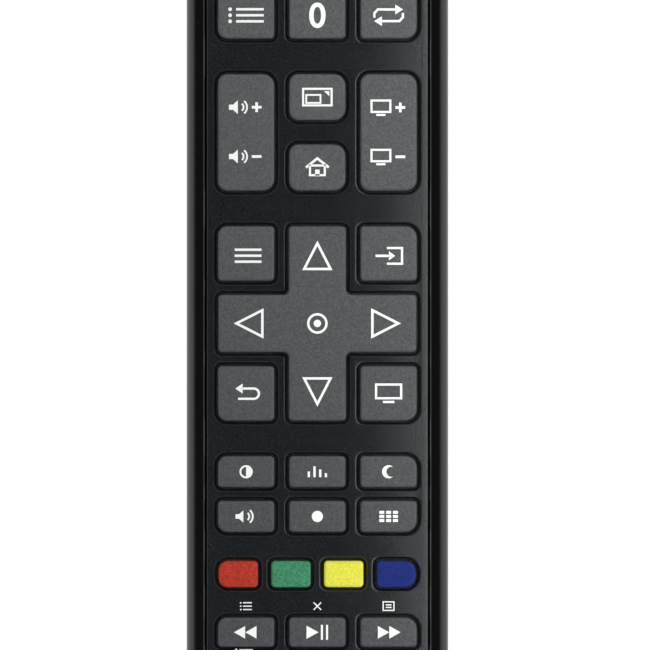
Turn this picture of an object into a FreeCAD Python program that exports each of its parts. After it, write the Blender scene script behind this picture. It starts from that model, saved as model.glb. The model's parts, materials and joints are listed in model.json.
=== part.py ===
"""Handheld remote control, lying on its back, keys up, infrared end towards +Y.

The origin is on the flat back, under the middle of the body. X runs across the
body, Y along it and Z up through the keys. Lengths are in millimetres and
angles in degrees.
"""
import FreeCAD, Part
import math
import os
import Sketcher
from FreeCAD import Vector

SIZES = [
    # housing
    ("body_width", 46.0, "across the gloss sides"),
    ("body_length", 195.0, "from end to end"),
    ("body_height", 19.0, "from the flat back to the top of the gloss rails"),
    ("end_bow_radius", 100.0, "slight bow of both ends, seen from above"),
    ("layout_width", 46.0, "body width that the places across are given for"),
    ("layout_length", 195.0, "body length that the places along are given for"),
    ("corner_radius", 7.0, "corners of the body, seen from above"),
    ("back_edge_radius", 6.0, "rounding between back and sides"),
    ("rail_edge_radius", 2.0, "rounding between rails and sides"),
    ("wall", 1.8, "thickness of the housing"),
    ("split_height", 10.0, "height of the joint between both halves"),
    ("lip_height", 1.5, "tongue of the lower half inside the upper half"),
    ("lip_thickness", 0.8, "thickness of that tongue"),
    ("fit_clearance", 0.1, "between parts that are pushed together"),
    ("rail_width", 3.35, "gloss rail beside the face plate"),
    ("plate_groove", 0.25, "dark line between rail and face plate"),
    ("plate_step", 0.2, "face plate lies this far under the rails"),
    ("plate_thickness", 1.8, "face plate"),
    ("ledge_width", 0.75, "ledge that carries the face plate"),
    ("well_margin", 1.32, "between the first row of keys and the ledge"),
    # keypad
    ("column_pitch", 12.5, "between the three columns of keys"),
    ("key_width", 9.9, "keys of the three columns"),
    ("digit_key_length", 8.1, "number keys and the two keys between the rockers"),
    ("rocker_length", 20.45, "volume and channel rockers"),
    ("menu_key_length", 9.55, "keys in the four corners round the cross"),
    ("cross_width", 34.75, "navigation cross, across"),
    ("cross_length", 34.1, "navigation cross, along"),
    ("cross_arm", 10.05, "width of its arms"),
    ("mode_key_length", 5.44, "low keys of the two mode rows"),
    ("colour_key_width", 6.9, "four coloured keys"),
    ("colour_key_length", 4.6, "four coloured keys"),
    ("colour_pitch", 9.25, "between coloured keys"),
    ("media_key_length", 5.1, "keys of the two media rows"),
    ("zero_row_y", 37.73, "middle of the row that holds the zero"),
    ("row_gap", 2.4, "between rows of one block"),
    ("block_gap", 6.25, "between blocks"),
    ("colour_gap", 5.1, "above the coloured keys"),
    ("label_gap", 5.35, "bare strip above each media row"),
    ("small_corner", 0.55, "inner corners of the keys"),
    ("large_corner", 2.0, "corners that face out of a block"),
    ("key_gap", 0.45, "gap round each key in the face plate"),
    ("key_rise", 1.1, "keys stand this far above the face plate"),
    ("key_edge", 0.4, "rounding of the top edges of the keys"),
    ("key_travel", 0.95, "stroke of a key"),
    ("key_room", 1.1, "between keypad mat and face plate"),
    ("contact_spare", 0.04, "left under a key that is fully down"),
    ("post_radius", 1.5, "contact post under a key"),
    ("post_clearance", 0.35, "round a post in the mat"),
    ("rocker_tilt", 4.5, "degrees each way"),
    ("rocker_post_y", 6.6, "posts of a rocker, from its middle"),
    ("fulcrum_width", 6.0, "rib under the middle of a rocker"),
    ("fulcrum_radius", 0.5, "round foot of that rib"),
    ("cross_press", 0.5, "stroke of the whole cross"),
    ("cross_tilt", 2.3, "degrees each way"),
    ("cross_room", 1.45, "between mat and underside of the cross"),
    ("cross_post_offset", 12.3, "contacts of the cross, from its middle"),
    ("pill_thickness", 0.5, "loose contact pills under the cross"),
    ("pill_clearance", 0.3, "between pills and the posts above them"),
    ("web_thickness", 0.3, "rubber skirt round each key"),
    ("web_flare", 0.8, "skirt spreads this far outside the key"),
    ("mat_thickness", 1.0, "keypad mat"),
    ("mat_margin", 0.35, "mat inside the ledge"),
    ("board_thickness", 1.2, "circuit board"),
    ("board_side_gap", 0.4, "between the circuit board and the walls"),
    ("board_corner", 5.0, "corners of the circuit board"),
    ("board_end_gap", 5.2, "from each end of the body to the board"),
    ("board_foot_gap", 9.3, "the same at the foot, behind the screws"),
    # battery bay
    ("cell_radius", 5.25, "size AAA"),
    ("cell_length", 44.5, "size AAA with its nub"),
    ("nub_radius", 1.9, "plus pole"),
    ("nub_height", 0.9, "plus pole"),
    ("cell_gap", 0.6, "between both cells"),
    ("cell_side_gap", 0.4, "beside the cells"),
    ("cell_under_gap", 0.25, "between cells and cover"),
    ("cell_over_gap", 0.15, "between cells and the roof of the bay"),
    ("bay_end_gap", 16.65, "from the foot end of the body to the bay"),
    ("bay_wall", 1.2, "walls of the bay"),
    ("spring_length", 4.4, "fitted length of a cell spring"),
    ("spring_wire", 0.6, "diameter"),
    ("spring_foot_radius", 3.4, "widest turn, middle of the wire"),
    ("spring_tip_radius", 2.0, "narrowest turn, middle of the wire"),
    ("spring_turns", 3.5, "turns of wire"),
    ("contact_thickness", 0.4, "sheet metal contacts"),
    ("contact_width", 8.0, "sheet metal contacts"),
    ("tab_width", 2.5, "tabs that run up to the board"),
    ("cover_thickness", 1.6, "battery cover"),
    ("cover_width", 30.0, "visible width of the cover"),
    ("tongue_width", 1.2, "runner on each side of the cover"),
    ("tongue_thickness", 0.8, "runner of the cover"),
    ("cover_overlap", 5.0, "cover reaches past the bay"),
    ("cover_travel", 70.0, "slide until the runners are free"),
    ("bay_floor", 1.4, "fixed floor over the cover, round the bay"),
    ("floor_end_gap", 2.6, "from the foot end of the body to that floor"),
    ("grip_width", 12.0, "thumb grooves on the cover"),
    ("grip_groove", 0.6, "width of a thumb groove"),
    ("grip_depth", 0.4, "depth of a thumb groove"),
    ("grip_pitch", 1.6, "between thumb grooves"),
    ("grip_count", 6, "thumb grooves"),
    # screws
    ("screw_x", 13.5, "from the middle plane"),
    ("screw_end_gap", 6.2, "from the foot end of the body"),
    ("screw_radius", 1.1, "shank"),
    ("screw_head_radius", 2.0, "head"),
    ("screw_head_height", 1.2, "head"),
    ("screw_slot_reach", 1.3, "each arm of the cross slot"),
    ("screw_length", 9.0, "shank"),
    ("boss_radius", 2.6, "screw bosses"),
    ("boss_joint", 8.0, "height where both bosses meet"),
    ("support_radius", 2.0, "posts that carry the board"),
    ("support_side_gap", 5.5, "from the sides of the body to these posts"),
    ("support_low_y", -12.0, "posts beside the cross"),
    ("support_high_y", 70.0, "posts beside the number keys"),
    # infrared end and electronics
    ("window_width", 18.0, "dark window in the infrared end"),
    ("window_low", 6.6, "lower edge of the window"),
    ("window_high", 13.8, "upper edge of the window"),
    ("window_flange", 1.2, "rim of the window inside the wall"),
    ("led_radius", 2.5, "infrared lamp"),
    ("led_length", 8.6, "infrared lamp with its dome"),
    ("led_height", 10.6, "axis of the lamp above the back"),
    ("led_end_gap", 3.4, "from the end of the body to the dome"),
    ("lead_size", 0.5, "square leads of the lamp"),
    ("lead_pitch", 2.54, "between its leads"),
    ("chip_width", 7.5, "control chip"),
    ("chip_length", 12.8, "control chip"),
    ("chip_height", 2.3, "control chip"),
    ("chip_y", 22.0, "middle of the chip"),
    ("pin_count", 10, "legs on each side"),
    ("pin_pitch", 1.27, "between its legs"),
    ("pin_width", 0.45, "legs of the chip"),
    ("pin_reach", 1.4, "legs beside the chip"),
    ("resonator_width", 7.0, "timing resonator"),
    ("resonator_depth", 3.0, "timing resonator"),
    ("resonator_height", 5.0, "timing resonator"),
    ("resonator_y", 38.0, "middle of the resonator"),
    ("capacitor_radius", 2.5, "smoothing capacitor"),
    ("capacitor_height", 9.0, "smoothing capacitor"),
    ("capacitor_x", -11.0, "middle of the capacitor"),
    ("capacitor_y", 52.0, "middle of the capacitor"),
    ("resistor_length", 2.0, "chip resistors"),
    ("resistor_width", 1.25, "chip resistors"),
    ("resistor_height", 0.55, "chip resistors"),
    ("resistor_x", 9.0, "middle of the row of resistors"),
    ("resistor_y", 50.0, "first of the resistors"),
    ("resistor_count", 3, "in the row"),
    ("resistor_pitch", 3.5, "between resistors"),
]

doc = FreeCAD.newDocument("RemoteControl")
sheet = doc.addObject("Spreadsheet::Sheet", "Sizes")
for row, (alias, amount, note) in enumerate(SIZES, start=1):
    sheet.set(f"A{row}", alias)
    sheet.set(f"B{row}", str(amount))
    sheet.set(f"C{row}", note)
    sheet.setAlias(f"B{row}", alias)
doc.recompute()

# Values that follow from the sheet. The keypad grows with the body.
layout = doc.addObject("App::VarSet", "Layout")


def derive(name, formula):
    """Adds one value that follows from the sheet, and gives its name in formulas."""
    layout.addProperty("App::PropertyFloat", name)
    layout.setExpression(name, formula)
    return "Layout." + name


def now(formula):
    """The present value of a formula."""
    value = layout.evalExpression(formula)
    return float(getattr(value, "Value", value))


FOLLOW_WIDTH = [
    "column_pitch", "key_width", "cross_width", "colour_key_width", "colour_pitch", "rail_width",
    "capacitor_x", "resistor_x",
]
FOLLOW_LENGTH = [
    "digit_key_length", "rocker_length", "menu_key_length", "cross_length", "mode_key_length",
    "colour_key_length", "media_key_length", "zero_row_y", "row_gap", "block_gap", "colour_gap",
    "label_gap", "rocker_post_y", "support_low_y", "support_high_y", "chip_y", "resonator_y",
    "capacitor_y", "resistor_y",
]
for alias in FOLLOW_WIDTH:
    derive(alias, f"Sizes.{alias} * Sizes.body_width / Sizes.layout_width")
for alias in FOLLOW_LENGTH:
    derive(alias, f"Sizes.{alias} * Sizes.body_length / Sizes.layout_length")

plate_top = derive("plate_top", "Sizes.body_height - Sizes.plate_step")
plate_seat = derive("plate_seat", f"{plate_top} - Sizes.plate_thickness")
mat_top = derive("mat_top", f"{plate_seat} - Sizes.key_room")
board_top = derive("board_top", f"{mat_top} - Sizes.mat_thickness")
board_base = derive("board_base", f"{board_top} - Sizes.board_thickness")
key_top = derive("key_top", f"{plate_top} + Sizes.key_rise")
key_base = derive("key_base", f"{mat_top} + Sizes.key_travel + 2 * Sizes.contact_spare")
cross_base = derive("cross_base", f"{mat_top} + Sizes.cross_room")
pivot_z = derive("pivot_z", f"{mat_top} + Sizes.contact_spare + Sizes.fulcrum_radius")
tilt_slope = derive("tilt_slope", "tan(Sizes.rocker_tilt * 1 deg)")
cross_slope = derive("cross_slope", "tan(Sizes.cross_tilt * 1 deg)")
key_contact = derive("key_contact", f"{board_top} + Sizes.key_travel + Sizes.contact_spare")
rocker_contact = derive(
    "rocker_contact",
    f"{board_top} + (Layout.rocker_post_y + Sizes.post_radius) * {tilt_slope} + Sizes.contact_spare",
)
side_contact = derive(
    "side_contact",
    f"{board_top} + Sizes.cross_press + Sizes.contact_spare"
    f" + (Sizes.cross_post_offset + Sizes.post_radius) * {cross_slope}",
)
centre_contact = derive("centre_contact", f"{board_top} + Sizes.cross_press + Sizes.contact_spare")
cross_pivot = derive("cross_pivot", f"{centre_contact} + Sizes.pill_thickness")
cell_z = derive("cell_z", "Sizes.cover_thickness + Sizes.cell_under_gap + Sizes.cell_radius")
cell_x = derive("cell_x", "Sizes.cell_gap / 2 + Sizes.cell_radius")
bay_top = derive("bay_top", f"{cell_z} + Sizes.cell_radius + Sizes.cell_over_gap")
bay_half = derive("bay_half", f"{cell_x} + Sizes.cell_radius + Sizes.cell_side_gap")
bay_length = derive("bay_length", "Sizes.cell_length + Sizes.spring_length + 2 * Sizes.contact_thickness")
half_width = derive("half_width", "Sizes.body_width / 2")
half_length = derive("half_length", "Sizes.body_length / 2")
bay_foot = derive("bay_foot", f"Sizes.bay_end_gap - {half_length}")
bay_head = derive("bay_head", f"{bay_foot} + {bay_length}")
bay_middle = derive("bay_middle", f"{bay_foot} + {bay_length} / 2")
cover_head = derive("cover_head", f"{bay_head} + Sizes.cover_overlap")
tongue_half = derive("tongue_half", "Sizes.cover_width / 2 + Sizes.tongue_width")
floor_base = derive("floor_base", "Sizes.cover_thickness + Sizes.fit_clearance")
plate_inset = derive("plate_inset", "Layout.rail_width + Sizes.plate_groove")
ledge_inset = derive("ledge_inset", f"{plate_inset} + Sizes.ledge_width")
well_half = derive("well_half", f"{half_width} - {ledge_inset}")
board_half = derive("board_half", f"{half_width} - Sizes.wall - Sizes.board_side_gap")
support_x = derive("support_x", f"{half_width} - Sizes.support_side_gap")
screw_y = derive("screw_y", f"Sizes.screw_end_gap - {half_length}")
screw_seat = derive("screw_seat", f"{floor_base} + Sizes.screw_head_height + Sizes.fit_clearance")
lead_y = derive("lead_y", f"{half_length} - Sizes.led_end_gap - Sizes.led_length - 3 * Sizes.lead_size")

digit_step = "(Layout.digit_key_length + Layout.row_gap)"
digits_789 = derive("digits_789", f"Layout.zero_row_y + {digit_step}")
digits_456 = derive("digits_456", f"{digits_789} + {digit_step}")
digits_123 = derive("digits_123", f"{digits_456} + {digit_step}")
power_row = derive("power_row", f"{digits_123} + Layout.digit_key_length + Layout.block_gap")
well_end = derive("well_end", f"{power_row} + Layout.digit_key_length / 2 + Sizes.well_margin")
rocker_top = derive("rocker_top", "Layout.zero_row_y - Layout.digit_key_length / 2 - Layout.block_gap")
rocker_row = derive("rocker_row", f"{rocker_top} - Layout.rocker_length / 2")
rocker_end = derive("rocker_end", f"{rocker_top} - Layout.rocker_length")
aspect_row = derive("aspect_row", f"{rocker_top} - Layout.digit_key_length / 2")
home_row = derive("home_row", f"{rocker_end} + Layout.digit_key_length / 2")
cross_top = derive("cross_top", f"{rocker_end} - Layout.block_gap")
cross_row = derive("cross_row", f"{cross_top} - Layout.cross_length / 2")
cross_end = derive("cross_end", f"{cross_top} - Layout.cross_length")
menu_row = derive("menu_row", f"{cross_top} - Layout.menu_key_length / 2")
exit_row = derive("exit_row", f"{cross_end} + Layout.menu_key_length / 2")
mode_row = derive("mode_row", f"{cross_end} - Layout.block_gap - Layout.mode_key_length / 2")
sound_row = derive("sound_row", f"{mode_row} - Layout.mode_key_length - Layout.row_gap")
colour_top = derive("colour_top", f"{sound_row} - Layout.mode_key_length / 2 - Layout.colour_gap")
colour_row = derive("colour_row", f"{colour_top} - Layout.colour_key_length / 2")
media_top = derive("media_top", f"{colour_top} - Layout.colour_key_length - Layout.label_gap")
media_row = derive("media_row", f"{media_top} - Layout.media_key_length / 2")
track_row = derive("track_row", f"{media_row} - Layout.media_key_length - Layout.label_gap")
doc.recompute()

LEFT = "-Layout.column_pitch"
MIDDLE = "0 * Layout.column_pitch"
RIGHT = "Layout.column_pitch"
ALL_CORNERS = ("head_left", "head_right", "foot_left", "foot_right")

# Plain keys: name, column, row, width, length, and the corners that are rounded large.
KEYS = [
    ("power_key", LEFT, power_row, "key_width", "digit_key_length", ALL_CORNERS),
    ("mute_key", RIGHT, power_row, "key_width", "digit_key_length", ALL_CORNERS),
    ("digit_1_key", LEFT, digits_123, "key_width", "digit_key_length", ("head_left",)),
    ("digit_2_key", MIDDLE, digits_123, "key_width", "digit_key_length", ()),
    ("digit_3_key", RIGHT, digits_123, "key_width", "digit_key_length", ("head_right",)),
    ("digit_4_key", LEFT, digits_456, "key_width", "digit_key_length", ()),
    ("digit_5_key", MIDDLE, digits_456, "key_width", "digit_key_length", ()),
    ("digit_6_key", RIGHT, digits_456, "key_width", "digit_key_length", ()),
    ("digit_7_key", LEFT, digits_789, "key_width", "digit_key_length", ()),
    ("digit_8_key", MIDDLE, digits_789, "key_width", "digit_key_length", ()),
    ("digit_9_key", RIGHT, digits_789, "key_width", "digit_key_length", ()),
    ("list_key", LEFT, "Layout.zero_row_y", "key_width", "digit_key_length", ("foot_left",)),
    ("digit_0_key", MIDDLE, "Layout.zero_row_y", "key_width", "digit_key_length", ()),
    ("recall_key", RIGHT, "Layout.zero_row_y", "key_width", "digit_key_length", ("foot_right",)),
    ("aspect_key", MIDDLE, aspect_row, "key_width", "digit_key_length", ALL_CORNERS),
    ("home_key", MIDDLE, home_row, "key_width", "digit_key_length", ALL_CORNERS),
    ("menu_key", LEFT, menu_row, "key_width", "menu_key_length", ("head_left",)),
    ("source_key", RIGHT, menu_row, "key_width", "menu_key_length", ("head_right",)),
    ("exit_key", LEFT, exit_row, "key_width", "menu_key_length", ("foot_left",)),
    ("display_key", RIGHT, exit_row, "key_width", "menu_key_length", ("foot_right",)),
    ("picture_key", LEFT, mode_row, "key_width", "mode_key_length", ("head_left",)),
    ("sound_key", MIDDLE, mode_row, "key_width", "mode_key_length", ()),
    ("sleep_key", RIGHT, mode_row, "key_width", "mode_key_length", ("head_right",)),
    ("audio_key", LEFT, sound_row, "key_width", "mode_key_length", ("foot_left",)),
    ("record_key", MIDDLE, sound_row, "key_width", "mode_key_length", ()),
    ("guide_key", RIGHT, sound_row, "key_width", "mode_key_length", ("foot_right",)),
    ("red_key", "-1.5 * Layout.colour_pitch", colour_row, "colour_key_width",
     "colour_key_length", ("head_left", "foot_left")),
    ("green_key", "-0.5 * Layout.colour_pitch", colour_row, "colour_key_width",
     "colour_key_length", ()),
    ("yellow_key", "0.5 * Layout.colour_pitch", colour_row, "colour_key_width",
     "colour_key_length", ()),
    ("blue_key", "1.5 * Layout.colour_pitch", colour_row, "colour_key_width",
     "colour_key_length", ("head_right", "foot_right")),
    ("rewind_key", LEFT, media_row, "key_width", "media_key_length", ("head_left",)),
    ("play_key", MIDDLE, media_row, "key_width", "media_key_length", ()),
    ("forward_key", RIGHT, media_row, "key_width", "media_key_length", ("head_right",)),
    ("previous_key", LEFT, track_row, "key_width", "media_key_length", ("foot_left",)),
    ("stop_key", MIDDLE, track_row, "key_width", "media_key_length", ()),
    ("next_key", RIGHT, track_row, "key_width", "media_key_length", ("foot_right",)),
]
ROCKERS = [
    ("volume_rocker", LEFT),
    ("channel_rocker", RIGHT),
]

subparts = []


def keep(item, label):
    """Names a finished sub-part and lists it for writing."""
    item.Label = label
    subparts.append(item)
    return item


def new_body(name):
    return doc.addObject("PartDesign::Body", name)


def new_sketch(body, name, role="XY_Plane", lift=None):
    """A sketch on one of the body's own origin planes, lifted by a formula."""
    sketch = body.newObject("Sketcher::SketchObject", name)
    plane = [item for item in body.Origin.OriginFeatures if item.Role == role][0]
    sketch.AttachmentSupport = (plane, [""])
    sketch.MapMode = "FlatFace"
    if lift:
        sketch.setExpression("AttachmentOffset.Base.z", lift)
    return sketch


def pad(body, name, sketch, length, down=False, both=False):
    feature = body.newObject("PartDesign::Pad", name)
    feature.Profile = sketch
    feature.setExpression("Length", length)
    feature.Reversed = down
    if both:
        feature.SideType = "Symmetric"
    return feature


def pocket(body, name, sketch, depth, up=False, both=False):
    feature = body.newObject("PartDesign::Pocket", name)
    feature.Profile = sketch
    feature.setExpression("Length", depth)
    feature.Reversed = up
    if both:
        feature.SideType = "Symmetric"
    return feature


def fillet(body, name, base, edges, radius):
    feature = body.newObject("PartDesign::Fillet", name)
    feature.Base = (base, edges)
    feature.setExpression("Radius", radius)
    return feature


def edges_at(shape, height, reach=0.001, wanted=None):
    """Names of the edges that lie flat at one height."""
    names = []
    for index, edge in enumerate(shape.Edges, start=1):
        box = edge.BoundBox
        if abs(box.ZMin - height) > reach or abs(box.ZMax - height) > reach:
            continue
        if wanted is None or wanted(edge):
            names.append(f"Edge{index}")
    return names


def place_at(item, across=None, along=None, up=None):
    """Ties the position of a sub-part to formulas."""
    for letter, formula in zip("xyz", (across, along, up)):
        if formula:
            item.setExpression(f"Placement.Base.{letter}", formula)


def tie(sketch, ties):
    """Adds constraints that each may follow a formula."""
    numbers = sketch.addConstraint([constraint for constraint, formula in ties])
    for number, (constraint, formula) in zip(numbers, ties):
        if formula:
            sketch.setExpression(f"Constraints[{number}]", formula)


def circle(sketch, radius, across="0", along="0"):
    """A circle whose middle and radius follow formulas."""
    middle = Vector(now(across), now(along), 0)
    index = sketch.addGeometry(Part.Circle(middle, Vector(0, 0, 1), now(radius)))
    tie(sketch, [
        (Sketcher.Constraint("DistanceX", -1, 1, index, 3, middle.x), across),
        (Sketcher.Constraint("DistanceY", -1, 1, index, 3, middle.y), along),
        (Sketcher.Constraint("Radius", index, now(radius)), radius),
    ])


def outline(sketch, sides, corners):
    """A closed outline of upright and level sides, counter-clockwise.

    Each side is its direction, x for an upright side at that x and y for a
    level one, with a formula. Each corner follows the side of the same number
    and has a formula for its radius, or None where it is sharp.
    """
    count = len(sides)
    places = [now(formula) for kind, formula in sides]
    radii = [now(formula) if formula else 0.0 for formula in corners]
    points = []
    for number in range(count):
        following = (number + 1) % count
        if sides[number][0] == "x":
            points.append(Vector(places[number], places[following], 0))
        else:
            points.append(Vector(places[following], places[number], 0))
    lines = []
    for number in range(count):
        before = points[number - 1]
        after = points[number]
        along = (after - before).normalize()
        start = before + along * radii[number - 1]
        finish = after - along * radii[number]
        lines.append(Part.LineSegment(start, finish))
    first_line = sketch.addGeometry(lines)[0]
    ties = []
    for number, (kind, formula) in enumerate(sides):
        index = first_line + number
        if kind == "x":
            ties.append((Sketcher.Constraint("Vertical", index), None))
            ties.append((Sketcher.Constraint("DistanceX", -1, 1, index, 1, places[number]), formula))
        else:
            ties.append((Sketcher.Constraint("Horizontal", index), None))
            ties.append((Sketcher.Constraint("DistanceY", -1, 1, index, 1, places[number]), formula))
    for number in range(count):
        following = (number + 1) % count
        here = first_line + number
        there = first_line + following
        if not corners[number]:
            ties.append((Sketcher.Constraint("Coincident", here, 2, there, 1), None))
            continue
        arriving = (lines[number].EndPoint - lines[number].StartPoint).normalize()
        leaving = (lines[following].EndPoint - lines[following].StartPoint).normalize()
        left_turn = arriving.cross(leaving).z > 0
        middle = lines[number].EndPoint + leaving * radii[number]
        begin = math.atan2(lines[number].EndPoint.y - middle.y, lines[number].EndPoint.x - middle.x)
        end = math.atan2(lines[following].StartPoint.y - middle.y,
                         lines[following].StartPoint.x - middle.x)
        if not left_turn:
            begin, end = end, begin
        round_corner = Part.Circle(middle, Vector(0, 0, 1), radii[number])
        index = sketch.addGeometry(Part.ArcOfCircle(round_corner, begin, end))
        near, far = (1, 2) if left_turn else (2, 1)
        ties.append((Sketcher.Constraint("Tangent", here, 2, index, near), None))
        ties.append((Sketcher.Constraint("Tangent", index, far, there, 1), None))
        ties.append((Sketcher.Constraint("Radius", index, radii[number]), corners[number]))
    tie(sketch, ties)


def rectangle(sketch, width, length, corners=(None, None, None, None)):
    """A rectangle about the origin. Corners: head right, head left, foot left, foot right."""
    sides = [("x", f"({width}) / 2"), ("y", f"({length}) / 2"),
             ("x", f"-({width}) / 2"), ("y", f"-({length}) / 2")]
    outline(sketch, sides, corners)


def box_outline(sketch, west, east, south, north, corner=None):
    """A rectangle between four formulas."""
    sides = [("x", east), ("y", north), ("x", west), ("y", south)]
    outline(sketch, sides, [corner] * len(sides))


def body_outline(sketch, inset):
    """The plan of the body with bowed ends, drawn in by a formula."""
    half = now(f"{half_width} - ({inset})")
    corner = now(f"Sizes.corner_radius - ({inset})")
    bow = now(f"Sizes.end_bow_radius - ({inset})")
    bow_middle = now(f"{half_length} - Sizes.end_bow_radius")
    corner_x = half - corner
    corner_y = bow_middle + math.sqrt((bow - corner) ** 2 - corner_x ** 2)
    lean = math.atan2(corner_x, corner_y - bow_middle)
    up = Vector(0, 0, 1)
    quarter = math.pi / 2

    def arc(x, y, radius, begin, end):
        return Part.ArcOfCircle(Part.Circle(Vector(x, y, 0), up, radius), begin, end)

    pieces = [
        Part.LineSegment(Vector(half, -corner_y, 0), Vector(half, corner_y, 0)),
        arc(corner_x, corner_y, corner, 0, quarter - lean),
        arc(0, bow_middle, bow, quarter - lean, quarter + lean),
        arc(-corner_x, corner_y, corner, quarter + lean, 2 * quarter),
        Part.LineSegment(Vector(-half, corner_y, 0), Vector(-half, -corner_y, 0)),
        arc(-corner_x, -corner_y, corner, -2 * quarter, -quarter - lean),
        arc(0, -bow_middle, bow, -quarter - lean, -quarter + lean),
        arc(corner_x, -corner_y, corner, -quarter + lean, 0),
    ]
    first = sketch.addGeometry(pieces)[0]
    count = len(pieces)
    right, head, left, foot = first, first + 2, first + 4, first + 6
    ties = [
        (Sketcher.Constraint("Vertical", right), None),
        (Sketcher.Constraint("Vertical", left), None),
        (Sketcher.Constraint("DistanceX", -1, 1, right, 1, half), f"{half_width} - ({inset})"),
        (Sketcher.Constraint("DistanceX", -1, 1, left, 1, -half), f"({inset}) - {half_width}"),
        (Sketcher.Constraint("PointOnObject", head, 3, -2), None),
        (Sketcher.Constraint("PointOnObject", foot, 3, -2), None),
        (Sketcher.Constraint("DistanceY", -1, 1, head, 3, bow_middle),
         f"{half_length} - Sizes.end_bow_radius"),
        (Sketcher.Constraint("DistanceY", -1, 1, foot, 3, -bow_middle),
         f"Sizes.end_bow_radius - {half_length}"),
        (Sketcher.Constraint("Radius", head, bow), f"Sizes.end_bow_radius - ({inset})"),
        (Sketcher.Constraint("Radius", foot, bow), f"Sizes.end_bow_radius - ({inset})"),
    ]
    for number in (1, 3, 5, 7):
        ties.append((Sketcher.Constraint("Radius", first + number, corner),
                     f"Sizes.corner_radius - ({inset})"))
    for number in range(count):
        following = first + (number + 1) % count
        ties.append((Sketcher.Constraint("Tangent", first + number, 2, following, 1), None))
    tie(sketch, ties)


def corner_formulas(large, grow="0"):
    """Radii for a key's corners, in the order that rectangle takes them."""
    order = ("head_right", "head_left", "foot_left", "foot_right")
    return [f"Sizes.{'large' if corner in large else 'small'}_corner + {grow}" for corner in order]


def cross_sides(grow="0"):
    """Sides of the cross, counter-clockwise from the end of its right arm."""
    reach_x = f"(Layout.cross_width / 2 + {grow})"
    reach_y = f"(Layout.cross_length / 2 + {grow})"
    arm = f"(Sizes.cross_arm / 2 + {grow})"
    return [("x", reach_x), ("y", arm), ("x", arm), ("y", reach_y), ("x", f"-{arm}"), ("y", arm),
            ("x", f"-{reach_x}"), ("y", f"-{arm}"), ("x", f"-{arm}"), ("y", f"-{reach_y}"),
            ("x", arm), ("y", f"-{arm}")]


def cross_corners(grow="0"):
    """Outer corners of the cross grow with its outline, inner corners shrink."""
    outer = f"Sizes.small_corner + {grow}"
    inner = f"Sizes.small_corner + Sizes.key_gap - {grow}"
    return [outer, inner, outer] * 4


def add_post(body, name, top, bottom, across="0", along="0"):
    """A contact post from the underside of a key down to its contact face."""
    sketch = new_sketch(body, name + "Outline", lift=top)
    circle(sketch, "Sizes.post_radius", across, along)
    return pad(body, name, sketch, f"{top} - {bottom}", down=True)


def key_cap(name, base, draw):
    """The visible cap of a key with its rounded top edges."""
    body = new_body(name)
    sketch = new_sketch(body, "CapOutline", lift=base)
    draw(sketch)
    cap = pad(body, "Cap", sketch, f"{key_top} - {base}")
    doc.recompute()
    fillet(body, "TopEdges", cap, edges_at(cap.Shape, now(key_top)), "Sizes.key_edge")
    return body


def make_key(name, across, along, width, length, large):
    """A plain key: cap, rounded top edges and one contact post."""
    def draw(sketch):
        rectangle(sketch, f"Layout.{width}", f"Layout.{length}", corner_formulas(large))

    body = key_cap(name, key_base, draw)
    add_post(body, "Post", key_base, key_contact)
    place_at(body, across, along)
    keep(body, name)


def make_rocker(name, across):
    """A long key on a round fulcrum, with a contact post under each end."""
    def draw(sketch):
        rectangle(sketch, "Layout.key_width", "Layout.rocker_length", corner_formulas(ALL_CORNERS))

    body = key_cap(name, key_base, draw)
    add_post(body, "HeadPost", key_base, rocker_contact, along="Layout.rocker_post_y")
    add_post(body, "FootPost", key_base, rocker_contact, along="-Layout.rocker_post_y")
    rib = new_sketch(body, "RibOutline", lift=key_base)
    rectangle(rib, "Sizes.fulcrum_width", "2 * Sizes.fulcrum_radius")
    pad(body, "Rib", rib, f"{key_base} - {pivot_z}", down=True)
    foot = new_sketch(body, "FootOutline", role="YZ_Plane")
    circle(foot, "Sizes.fulcrum_radius", "0", pivot_z)
    pad(body, "Foot", foot, "Sizes.fulcrum_width", both=True)
    place_at(body, across, rocker_row)
    keep(body, name)


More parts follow.
